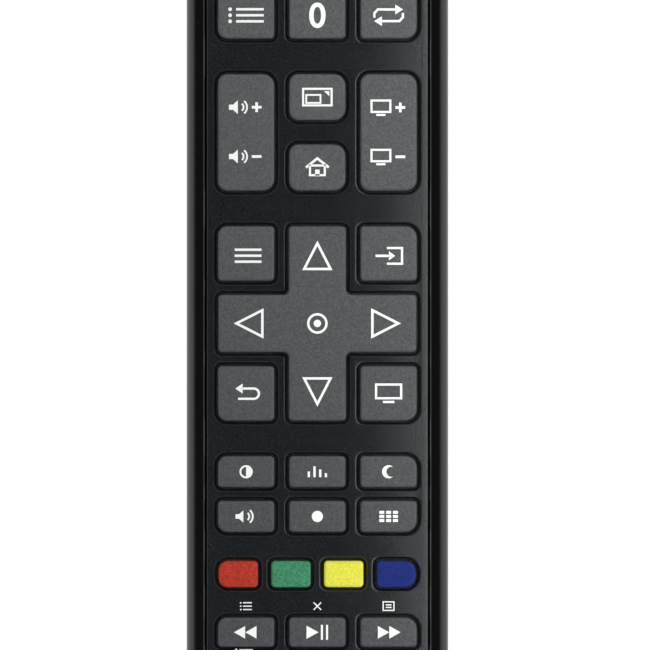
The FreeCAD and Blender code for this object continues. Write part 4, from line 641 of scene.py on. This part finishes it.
def fillBetween(work, loops, upward):          # the last loop is the outer edge
    points, edges, owners = [], [], []
    for loop in loops:
        start = len(points)
        for number, vert in enumerate(loop):
            points.append(Vector((vert.co.x / mm, vert.co.y / mm)))
            edges.append((start + number, start + (number + 1) % len(loop)))
            owners.append(vert)
    found = delaunay_2d_cdt(points, edges, [], 0, facePlate["fillGap"])
    verts, faces, source = found[0], found[2], found[3]
    shapes = []
    for loop in loops:
        corners = [vert.co for vert in loop]
        xs = [point.x for point in corners]
        ys = [point.y for point in corners]
        shapes.append((corners, min(xs), max(xs), min(ys), max(ys)))
    for face in faces:
        x = sum(verts[index].x for index in face) / len(face) * mm
        y = sum(verts[index].y for index in face) / len(face) * mm
        if not insideLoop(x, y, shapes[-1][0]):
            continue
        if any(west < x < east and south < y < north and insideLoop(x, y, loop)
               for loop, west, east, south, north in shapes[:-1]):
            continue
        corner = [owners[source[index][0]] for index in face]
        work.faces.new(corner if upward else corner[::-1])


def makePlate():
    openings = [keyOutline(node) for node in keyCorners] + [crossOutline()]
    work = bmesh.new()
    flatLoops, baseLoops = [], []
    for corners in openings:
        loops = []
        for away, z in lipRings(facePlate["lip"]):
            outline = roundedLoop(corners, keyCap["gap"] + away, facePlate["cornerSteps"])
            loops.append(ringVerts(work, outline, z))
        for inner, outer in zip(loops, loops[1:]):
            bridge(work, outer, inner)
        flatLoops.append(loops[-1])
        baseLoops.append(loops[0])
    loops = []
    for away, z in lipRings(facePlate["rim"]):
        outline = bowedLoop(bodyForm, facePlate["inset"] + away, facePlate["arcSteps"])
        loops.append(ringVerts(work, outline, z))
    for under, over in zip(loops, loops[1:]):
        bridge(work, under, over)
    flatLoops.append(loops[-1])
    baseLoops.append(loops[0])
    fillBetween(work, flatLoops, True)
    fillBetween(work, baseLoops, False)
    bmesh.ops.recalc_face_normals(work, faces=work.faces)
    mesh = bpy.data.meshes.new("facePlate")
    work.to_mesh(mesh)
    work.free()
    shadeSmooth(mesh, facePlate["sharpAngle"])
    piece = newPiece("face_plate_satin", mesh, "housing", finish["matte_plate"])
    weightNormals(piece)
    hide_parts("face_plate")


makePlate()
print("face plate made")


# Marks are drawn in millimetres about the middle of their key.
markForm = {"leastMitre": 0.35, "discSteps": 32, "ringSteps": 36}


def strokeLoops(points, width, closed):
    left, right = [], []
    count = len(points)
    for number, point in enumerate(points):
        here = Vector(point)
        before = Vector(points[number - 1]) if number or closed else None
        after = Vector(points[(number + 1) % count]) if number < count - 1 or closed else None
        arriving = (here - before).normalized() if before is not None else None
        leaving = (after - here).normalized() if after is not None else None
        arriving = arriving or leaving
        leaving = leaving or arriving
        sideA = Vector((-arriving.y, arriving.x))
        sideB = Vector((-leaving.y, leaving.x))
        side = (sideA + sideB).normalized()
        reach = width / 2 / max(side.dot(sideB), markForm["leastMitre"])
        left.append(here + side * reach)
        right.append(here - side * reach)
    return left, right


def arcPoints(x, y, radius, begin, end, count):
    angles = [math.radians(begin + (end - begin) * step / count) for step in range(count + 1)]
    return [(x + radius * math.cos(angle), y + radius * math.sin(angle)) for angle in angles]


def addPrism(work, points, low, high):
    count = len(points)
    bottom = [work.verts.new((x, y, low)) for x, y in points]
    top = [work.verts.new((x, y, high)) for x, y in points]
    work.faces.new(top)
    work.faces.new(bottom[::-1])
    for number in range(count):
        following = (number + 1) % count
        work.faces.new((bottom[number], bottom[following], top[following], top[number]))


def addMark(work, mark, middleX, middleY, low, high):
    kind = mark[0]

    def put(points):
        return [(middleX + x * mm, middleY + y * mm) for x, y in points]

    if kind == "fill":
        addPrism(work, put(mark[1]), low, high)
    elif kind == "disc":
        x, y, radius = mark[1:]
        addPrism(work, put(arcPoints(x, y, radius, 0, 360, markForm["discSteps"])[:-1]), low, high)
    else:
        closed = kind == "loop"
        left, right = strokeLoops(mark[1], mark[2], closed)
        count = len(left)
        for number in range(count if closed else count - 1):
            following = (number + 1) % count
            quad = [right[number], right[following], left[following], left[number]]
            addPrism(work, put(quad), low, high)


def box(x, y, width, height):
    return [(x - width / 2, y - height / 2), (x + width / 2, y - height / 2),
            (x + width / 2, y + height / 2), (x - width / 2, y + height / 2)]


def ring(x, y, radius, width):
    return ("loop", arcPoints(x, y, radius, 0, 360, markForm["ringSteps"])[:-1], width)


def triangle(x, y, across, along):
    return [(x - across / 2, y - along / 2), (x + across / 2, y - along / 2), (x, y + along / 2)]


def pointed(x, y, reach, height):
    return [(x - reach / 2, y - height / 2), (x + reach / 2, y), (x - reach / 2, y + height / 2)]


def crossing(x, y, reach, width, turn=0):
    half = width / 2
    outline = [(reach, -half), (reach, half), (half, half), (half, reach),
               (-half, reach), (-half, half), (-reach, half), (-reach, -half),
               (-half, -half), (-half, -reach), (half, -reach), (half, -half)]
    cosine, sine = math.cos(math.radians(turn)), math.sin(math.radians(turn))
    return [(x + across * cosine - along * sine, y + across * sine + along * cosine)
            for across, along in outline]


def speaker(x, y, size):
    outline = [(-0.50, -0.18), (-0.22, -0.18), (0.12, -0.48),
               (0.12, 0.48), (-0.22, 0.18), (-0.50, 0.18)]
    return [("fill", [(x + across * size, y + along * size) for across, along in outline])]


line = 0.36
plus = [("fill", crossing(1.85, 0, 0.85, 0.46))]
minus = [("line", [(1.0, 0), (2.7, 0)], 0.46)]
waves = [("line", arcPoints(-1.25, 0, 0.8, -50, 50, 10), 0.3),
         ("line", arcPoints(-1.25, 0, 1.42, -50, 50, 12), 0.3)]
screen = [("loop", box(-1.55, 0.22, 3.3, 2.0), line),
          ("line", [(-2.35, -1.3), (-0.75, -1.3)], line)]


def shifted(marks, dx, dy):
    moved = []
    for mark in marks:
        if mark[0] == "disc":
            moved.append(("disc", mark[1] + dx, mark[2] + dy, mark[3]))
        else:
            moved.append((mark[0], [(x + dx, y + dy) for x, y in mark[1]], *mark[2:]))
    return moved


volumeGlyph = speaker(-1.75, 0, 2.5) + waves
marksOn = {
    "power_key": [("line", arcPoints(0, -0.15, 1.6, 125, 415, 30), 0.4),
                  ("line", [(0, 0.2), (0, 2.0)], 0.4)],
    "mute_key": speaker(-0.85, 0, 3.0) + [("fill", crossing(1.2, 0, 1.13, 0.4, 45))],
    "list_key": [("line", [(-1.75, y), (3.1, y)], 0.42) for y in (1.06, 0, -1.06)]
                + [("disc", -2.8, y, 0.32) for y in (1.06, 0, -1.06)],
    "recall_key": [("line", [(-2.5, -0.4), (-2.5, 0.35), (-1.9, 1.02), (1.2, 1.02)], 0.4),
                   ("fill", pointed(1.85, 1.02, 1.35, 1.7)),
                   ("line", [(2.5, 0.4), (2.5, -0.35), (1.9, -1.02), (-1.2, -1.02)], 0.4),
                   ("fill", pointed(-1.85, -1.02, -1.35, -1.7))],
    "volume_rocker": shifted(volumeGlyph + plus, 0, 4.4) + shifted(volumeGlyph + minus, 0, -4.25),
    "channel_rocker": shifted(screen + plus, 0.2, 4.35) + shifted(screen + minus, 0.2, -4.3),
    "aspect_key": [("loop", box(0, 0, 5.0, 2.9), line), ("loop", box(-0.7, -0.32, 2.5, 1.4), 0.3),
                   ("fill", [(1.15, 1.05), (2.1, 1.05), (2.1, 0.15)])],
    "home_key": [("line", [(-2.0, 0.0), (0, 1.6), (2.0, 0.0)], 0.42),
                 ("loop", [(-1.3, -1.35), (1.3, -1.35), (1.3, 0.35), (-1.3, 0.35)], line),
                 ("fill", box(0, -0.9, 0.8, 1.05))],
    "menu_key": [("line", [(-2.0, y), (2.7, y)], 0.42) for y in (0.65, -0.4, -1.45)],
    "source_key": [("line", [(-0.3, 0.95), (2.35, 0.95), (2.35, -1.8), (-0.3, -1.8)], 0.38),
                   ("line", [(-2.3, -0.42), (0.2, -0.42)], 0.42),
                   ("fill", pointed(0.6, -0.42, 1.1, 1.6))],
    "exit_key": [("line", [(-0.7, 0.85)] + arcPoints(1.35, -0.05, 0.9, 90, -90, 14)
                  + [(-1.4, -0.95)], 0.4),
                 ("fill", pointed(-1.25, 0.85, -1.3, -1.75))],
    "display_key": [("loop", box(0, 0.35, 4.4, 2.4), 0.38),
                    ("line", [(-1.0, -1.5), (1.0, -1.5)], 0.38)],
    "picture_key": [ring(0, 0, 1.0, 0.32), ("fill", arcPoints(0, 0, 0.83, -90, 90, 16))],
    "sound_key": [("line", [(x, -0.95), (x, y)], 0.4)
                  for x, y in ((-1.5, 0.05), (-0.5, 0.95), (0.5, 0.4), (1.5, -0.25))],
    "sleep_key": [("fill", arcPoints(0, 0, 1.15, 48.5, 311.5, 28)
                   + arcPoints(0.5, 0, 0.9, 278, 82, 20))],
    "audio_key": speaker(-0.75, 0, 2.2) + shifted(waves, 1.0, 0),
    "record_key": [("disc", 0, 0, 0.98)],
    "guide_key": [("fill", box(x, y, 0.86, 0.5)) for x in (-1.2, 0, 1.2)
                  for y in (0.72, 0, -0.72)],
    "rewind_key": [("fill", pointed(x, 0, -1.95, -2.2)) for x in (-1.15, 0.85)],
    "play_key": [("fill", pointed(-0.85, 0, 2.1, 2.3))]
                + [("line", [(x, -1.3), (x, 1.3)], 0.36) for x in (0.8, 1.7)],
    "forward_key": [("fill", pointed(x, 0, 1.95, 2.2)) for x in (-0.9, 1.1)],
    "previous_key": [("line", [(-1.55, -1.1), (-1.55, 1.1)], 0.4),
                     ("fill", pointed(-0.35, 0, -1.95, -2.2))],
    "stop_key": [("fill", box(0, 0, 1.9, 1.9))],
    "next_key": [("line", [(1.55, -1.1), (1.55, 1.1)], 0.4),
                 ("fill", pointed(0.35, 0, 1.95, 2.2))],
    "cross_pad": [("loop", triangle(0, 11.8, 4.62, 4.5), 0.43),
                  ("loop", [(-x, -y) for x, y in triangle(0, 11.9, 4.62, 4.5)], 0.43),
                  ("loop", [(-14.2, 0), (-9.65, -2.31), (-9.65, 2.31)], 0.43),
                  ("loop", [(14.2, 0), (9.65, 2.31), (9.65, -2.31)], 0.43),
                  ring(0, 0, 1.6, 0.42), ("disc", 0, 0, 0.65)],
}


def printMesh(name, marks, middleX, middleY, top):
    work = bmesh.new()
    for mark in marks:
        addMark(work, mark, middleX, middleY, top - keyCap["printDepth"], top)
    bmesh.ops.recalc_face_normals(work, faces=work.faces)
    mesh = bpy.data.meshes.new(name)
    work.to_mesh(mesh)
    work.free()
    return mesh


for node, marks in marksOn.items():
    middle = keyMiddle(node)
    mesh = printMesh(node + "_print", marks, middle.x, middle.y, keyTop(node))
    newPiece(node + "_print", mesh, node, finish["key_print"])

digits = {"count": 10, "size": 6.1 * mm, "bold": 0.10 * mm}


def makeDigit(number):
    node = f"digit_{number}_key"
    middle = keyMiddle(node)
    curve = bpy.data.curves.new(f"digit{number}", "FONT")
    curve.body = str(number)
    curve.size = digits["size"]
    curve.offset = digits["bold"]
    curve.extrude = keyCap["printDepth"] / 2
    curve.align_x = "CENTER"
    curve.align_y = "CENTER"
    text = bpy.data.objects.new(f"digit{number}", curve)
    collection.objects.link(text)
    mesh = plainMesh(text, f"digit{number}Print")
    bpy.data.objects.remove(text)
    xs = [vert.co.x for vert in mesh.vertices]
    ys = [vert.co.y for vert in mesh.vertices]
    shift = (middle.x - (min(xs) + max(xs)) / 2, middle.y - (min(ys) + max(ys)) / 2,
             keyTop(node) - keyCap["printDepth"] / 2)
    mesh.transform(Matrix.Translation(shift))
    newPiece(f"digit_{number}_print", mesh, node, finish["key_print"])


for number in range(digits["count"]):
    makeDigit(number)

plateMarks = {"y": -65.95, "trackY": -75.0, "trackTop": -73.6, "column": 12.5, "line": 0.2}
thin, column = plateMarks["line"], plateMarks["column"]
page = [("loop", box(0, 0, 1.9, 1.5), thin), ("line", [(-0.5, 0.22), (0.5, 0.22)], thin),
        ("line", [(-0.5, -0.22), (0.5, -0.22)], thin)]
away = [("fill", crossing(0, 0, 0.92, thin, 45))]
rows = [("line", [(-0.55, y), (1.0, y)], thin) for y in (0.6, 0, -0.6)]
rows += [("disc", -0.95, y, 0.14) for y in (0.6, 0, -0.6)]
track = [("line", [(-1.2, 0), (1.2, 0)], thin), ("disc", -1.75, 0, 0.2)]
onPlate = []
for x, marks in ((-column, rows), (0, away), (column, page)):
    onPlate += shifted(marks, x, plateMarks["y"]) + shifted(track, x, plateMarks["trackY"])
onPlate += shifted(track, -column, plateMarks["trackTop"])       # the left mark has two rows
mesh = printMesh("face_plate_print", onPlate, 0, 0, keyTop("face_plate") + keyCap["printRise"] / 2)
newPiece("face_plate_print", mesh, "housing", finish["key_print"])
print("print made:", len(marksOn) + digits["count"] + 1)


housing = {"rimRound": 0.5 * mm, "rimSteps": 6, "rimHeight": 18.95 * mm, "rimReach": 3.3 * mm,
           "seamRound": 0.2 * mm, "seamSteps": 3, "skin": 0.05 * mm,
           "flatAngle": 0.4, "sharpAngle": 32}
rimLoop = bowedLoop(bodyForm, housing["rimReach"], facePlate["arcSteps"])
skinLoop = bowedLoop(bodyForm, housing["skin"], facePlate["arcSteps"])


def onRim(mesh, edge):
    ends = [mesh.vertices[index].co for index in edge.vertices]
    return all(end.z > housing["rimHeight"] and insideLoop(end.x, end.y, rimLoop) for end in ends)


def onSkin(mesh, edge):
    ends = [mesh.vertices[index].co for index in edge.vertices]
    return edge.use_edge_sharp and not any(insideLoop(end.x, end.y, skinLoop) for end in ends)


def softCopy(node, name, finishName, bevels):
    mesh = nodes[node].data.copy()
    mesh.name = name
    work = bmesh.new()
    work.from_mesh(mesh)
    bmesh.ops.remove_doubles(work, verts=work.verts, dist=weld)
    flat = [edge for edge in work.edges if len(edge.link_faces) == 2]
    bmesh.ops.dissolve_limit(work, angle_limit=math.radians(housing["flatAngle"]),
                             verts=work.verts, edges=flat)
    work.to_mesh(mesh)
    work.free()
    if "custom_normal" in mesh.attributes:
        mesh.attributes.remove(mesh.attributes["custom_normal"])
    piece = newPiece(name, mesh, nodes[node]["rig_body"], finish[finishName])
    shadeSmooth(mesh, housing["sharpAngle"])
    for width, segments, choose in bevels:
        weights = mesh.attributes.get("bevel_weight_edge")
        weights = weights or mesh.attributes.new("bevel_weight_edge", "FLOAT", "EDGE")
        weights.data.foreach_set("value", [float(choose(mesh, edge)) for edge in mesh.edges])
        bevel = piece.modifiers.new("softEdges", "BEVEL")
        bevel.width = width
        bevel.segments = segments
        bevel.limit_method = "WEIGHT"
        bevel.harden_normals = True
        mesh = bakeModifiers(piece).data
        shadeSmooth(mesh, housing["sharpAngle"])
    weightNormals(piece)
    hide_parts(node)


# the parting line and the window's opening get worn edges, the rim a full round
seam = (housing["seamRound"], housing["seamSteps"], onSkin)
rim = (housing["rimRound"], housing["rimSteps"], onRim)
softCopy("upper_case", "upper_case_gloss", "gloss_housing", [rim, seam])
softCopy("ir_window", "ir_window_pane", "dark_window", [seam])
print("housing made")


slotOf = {
    "lower_case": "gloss_housing", "battery_cover": "gloss_housing", "keypad_mat": "mat_rubber",
    "cross_centre_pill": "carbon_pill", "cross_side_pills": "carbon_pill",
    "circuit_board": "board_laminate", "control_chip": "chip_epoxy", "resonator": "amber_dip",
    "capacitor": "capacitor_sleeve", "resistors": "resistor_ceramic", "ir_led": "lamp_lens",
    "positive_contact": "contact_metal", "negative_contact": "contact_metal",
    "bridge_contact": "contact_metal", "case_screws": "screw_steel",
}


def dress(node, material):
    nodes[node].data.materials.clear()
    nodes[node].data.materials.append(material)


for node, name in slotOf.items():
    dress(node, finish[name])

dark, metal, copper = (0.012, 0.014, 0.02), (0.55, 0.55, 0.56), (0.62, 0.33, 0.12)
cellJacket = {
    "grain": 400.0, "smooth": 0.22, "scuffed": 0.38,
    "bands": {      # share of the cell's length where each colour begins
        "battery_cell_left": [(0.0, metal), (0.03, dark), (0.74, copper), (0.965, metal)],
        "battery_cell_right": [(0.0, metal), (0.035, copper), (0.26, dark), (0.97, metal)],
    },
    "metalBands": [(0.0, (1, 1, 1)), (0.03, (0.2, 0.2, 0.2)), (0.965, (1, 1, 1))],
}


def jacketMaterial(node, bands):
    low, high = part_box(node)
    reach = high.y - low.y
    material, tree, shader = newMaterial(node + "Jacket")
    coords = tree.nodes.new("ShaderNodeTexCoord").outputs["Object"]
    place = tree.nodes.new("ShaderNodeMapping")
    place.inputs["Location"].default_value = (0, -low.y / reach, 0)
    place.inputs["Scale"].default_value = (1, 1 / reach, 1)
    link(tree, coords, place.inputs["Vector"])
    split = tree.nodes.new("ShaderNodeSeparateXYZ")
    link(tree, place.outputs["Vector"], split.inputs["Vector"])
    for stops, socket in ((bands, "Base Color"), (cellJacket["metalBands"], "Metallic")):
        stripes = ramp(tree, split.outputs["Y"], stops)
        stripes.node.color_ramp.interpolation = "CONSTANT"
        link(tree, stripes, shader.inputs[socket])
    scuffs = noiseOn(tree, coords, cellJacket["grain"], noiseForm["wearDetail"])
    rough = spread(tree, scuffs, cellJacket["smooth"], cellJacket["scuffed"])
    link(tree, rough, shader.inputs["Roughness"])
    return material


for node, bands in cellJacket["bands"].items():
    dress(node, jacketMaterial(node, bands))

# printed carbon contacts, one below every post of the keys: two half discs with a slit
boardPads = {"radius": 1.65, "slit": 8, "steps": 14, "rise": 0.01 * mm}
halves = []
for turn in (-90, 90):
    begin, end = turn + boardPads["slit"], turn + 180 - boardPads["slit"]
    halves.append(("fill", arcPoints(0, 0, boardPads["radius"], begin, end, boardPads["steps"])))
posts = []
for node in keyCorners:
    middle = keyMiddle(node)
    reach = keyCap["rockerPosts"]
    sides = (reach, -reach) if node.endswith("_rocker") else (0,)
    posts += [(middle.x, middle.y + side) for side in sides]
middle, reach = keyMiddle("cross_pad"), crossArm["postOffset"]
posts += [(middle.x + x, middle.y + y)
          for x, y in ((0, 0), (reach, 0), (-reach, 0), (0, reach), (0, -reach))]
pads = []
for x, y in posts:
    pads += shifted(halves, x / mm, y / mm)
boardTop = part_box("keypad_mat")[0].z
mesh = printMesh("board_contacts", pads, 0, 0, boardTop + boardPads["rise"])
newPiece("board_contacts", mesh, "housing", finish["carbon_pill"])
print("inside dressed:", len(slotOf) + len(cellJacket["bands"]) + 1)


studio = {
    "floorSize": 8.0, "floorColour": (0.88, 0.88, 0.88), "floorGlow": 0.5,
    "floorRoughness": 0.9, "floorSpecular": 0.1,
    "cameraHeight": 1.5, "cameraX": 1.34 * mm, "cameraY": -16.6 * mm, "frameWidth": 114.1 * mm,
    "focusHeight": 18.8 * mm, "sensor": 36.0, "nearClip": 0.05, "farClip": 20.0,
    "skyBright": 1.6,
    "skySteps": ((0.0, 1.0), (0.4, 0.9), (0.59, 0.8), (0.7, 0.65), (0.77, 0.45), (0.85, 0.19),
                 (0.93, 0.045), (1.0, 0.018)),       # height of a direction, and its light
    "ceiling": {"place": (0.0, 0.0, 1.4), "size": (4.0, 4.0), "power": 23.0},
    "softPanel": {"place": (0.0525, 0.0, 0.059), "size": (0.055, 0.36), "power": 0.118},
    "headPanel": {"place": (0.0, 0.06, 0.13), "size": (0.08, 0.08), "power": 0.09},
    "sheenPanel": {"place": (0.0475, 0.0, 0.056), "size": (0.055, 0.36), "power": 0.17},
}


def makePanel(name, receivers=()):
    look = studio[name]
    lamp = bpy.data.lights.new(name, "AREA")
    lamp.shape = "RECTANGLE"
    lamp.size, lamp.size_y = look["size"]
    lamp.energy = look["power"]
    light = bpy.data.objects.new(name, lamp)
    collection.objects.link(light)
    light.location = look["place"]
    light.visible_camera = False
    if receivers:
        group = bpy.data.collections.new(name + "Receivers")
        for piece in receivers:
            group.objects.link(piece)
        light.light_linking.receiver_collection = group
    return light


def makeFloor():
    mesh = bpy.data.meshes.new("floor")
    half = studio["floorSize"] / 2
    mesh.from_pydata([(-half, -half, 0), (half, -half, 0), (half, half, 0), (-half, half, 0)],
                     [], [(0, 1, 2, 3)])
    floor = bpy.data.objects.new("floor", mesh)
    collection.objects.link(floor)
    material, tree, shader = newMaterial("floorPaper")
    shader.inputs["Base Color"].default_value = (*studio["floorColour"], 1.0)
    shader.inputs["Roughness"].default_value = studio["floorRoughness"]
    shader.inputs["Specular IOR Level"].default_value = studio["floorSpecular"]
    shader.inputs["Emission Color"].default_value = (1.0, 1.0, 1.0, 1.0)
    shader.inputs["Emission Strength"].default_value = studio["floorGlow"]
    mesh.materials.append(material)
    floor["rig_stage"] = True


def makeSky():
    world = bpy.data.worlds.new("studio")
    bpy.context.scene.world = world
    world.use_nodes = True
    tree = world.node_tree
    background = tree.nodes["Background"]
    coords = tree.nodes.new("ShaderNodeTexCoord").outputs["Generated"]
    split = tree.nodes.new("ShaderNodeSeparateXYZ")
    link(tree, coords, split.inputs["Vector"])
    stops = [(place, (level,) * 3) for place, level in studio["skySteps"]]
    sky = ramp(tree, split.outputs["Z"], stops)
    link(tree, sky, background.inputs["Color"])
    background.inputs["Strength"].default_value = studio["skyBright"]
    backdrop = tree.nodes.new("ShaderNodeBackground")       # plain white behind everything
    backdrop.inputs["Color"].default_value = (1.0, 1.0, 1.0, 1.0)
    choose = tree.nodes.new("ShaderNodeMixShader")
    path = tree.nodes.new("ShaderNodeLightPath")
    link(tree, path.outputs["Is Camera Ray"], choose.inputs["Fac"])
    link(tree, background.outputs["Background"], choose.inputs[1])
    link(tree, backdrop.outputs["Background"], choose.inputs[2])
    link(tree, choose.outputs["Shader"], tree.nodes["World Output"].inputs["Surface"])


def makeLights():
    shiny = (finish["gloss_housing"], finish["dark_window"])
    matte = [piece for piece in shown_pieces() if piece.active_material not in shiny]
    plate = [piece for piece in matte if piece.name == "face_plate_satin"]
    makePanel("ceiling").visible_glossy = False
    makePanel("softPanel", [piece for piece in matte if piece not in plate])
    makePanel("sheenPanel", plate).visible_diffuse = False
    grey = [piece for piece in matte if piece.active_material == finish["key_rubber"]]
    makePanel("headPanel", grey).visible_glossy = False     # the light fades towards the foot


def makeCamera():
    camera = bpy.data.cameras.new("camera")
    camera.type = "PERSP"
    camera.sensor_fit = "HORIZONTAL"
    camera.sensor_width = studio["sensor"]
    reach = studio["cameraHeight"] - studio["focusHeight"]
    camera.lens = studio["sensor"] * reach / studio["frameWidth"]
    camera.clip_start = studio["nearClip"]
    camera.clip_end = studio["farClip"]
    eye = bpy.data.objects.new("camera", camera)
    collection.objects.link(eye)
    eye.location = (studio["cameraX"], studio["cameraY"], studio["cameraHeight"])
    bpy.context.scene.camera = eye
    bpy.context.scene.view_settings.view_transform = "Standard"
    bpy.context.scene.view_settings.look = "None"


makeFloor()
makeSky()
makeLights()
makeCamera()
print("stage set")
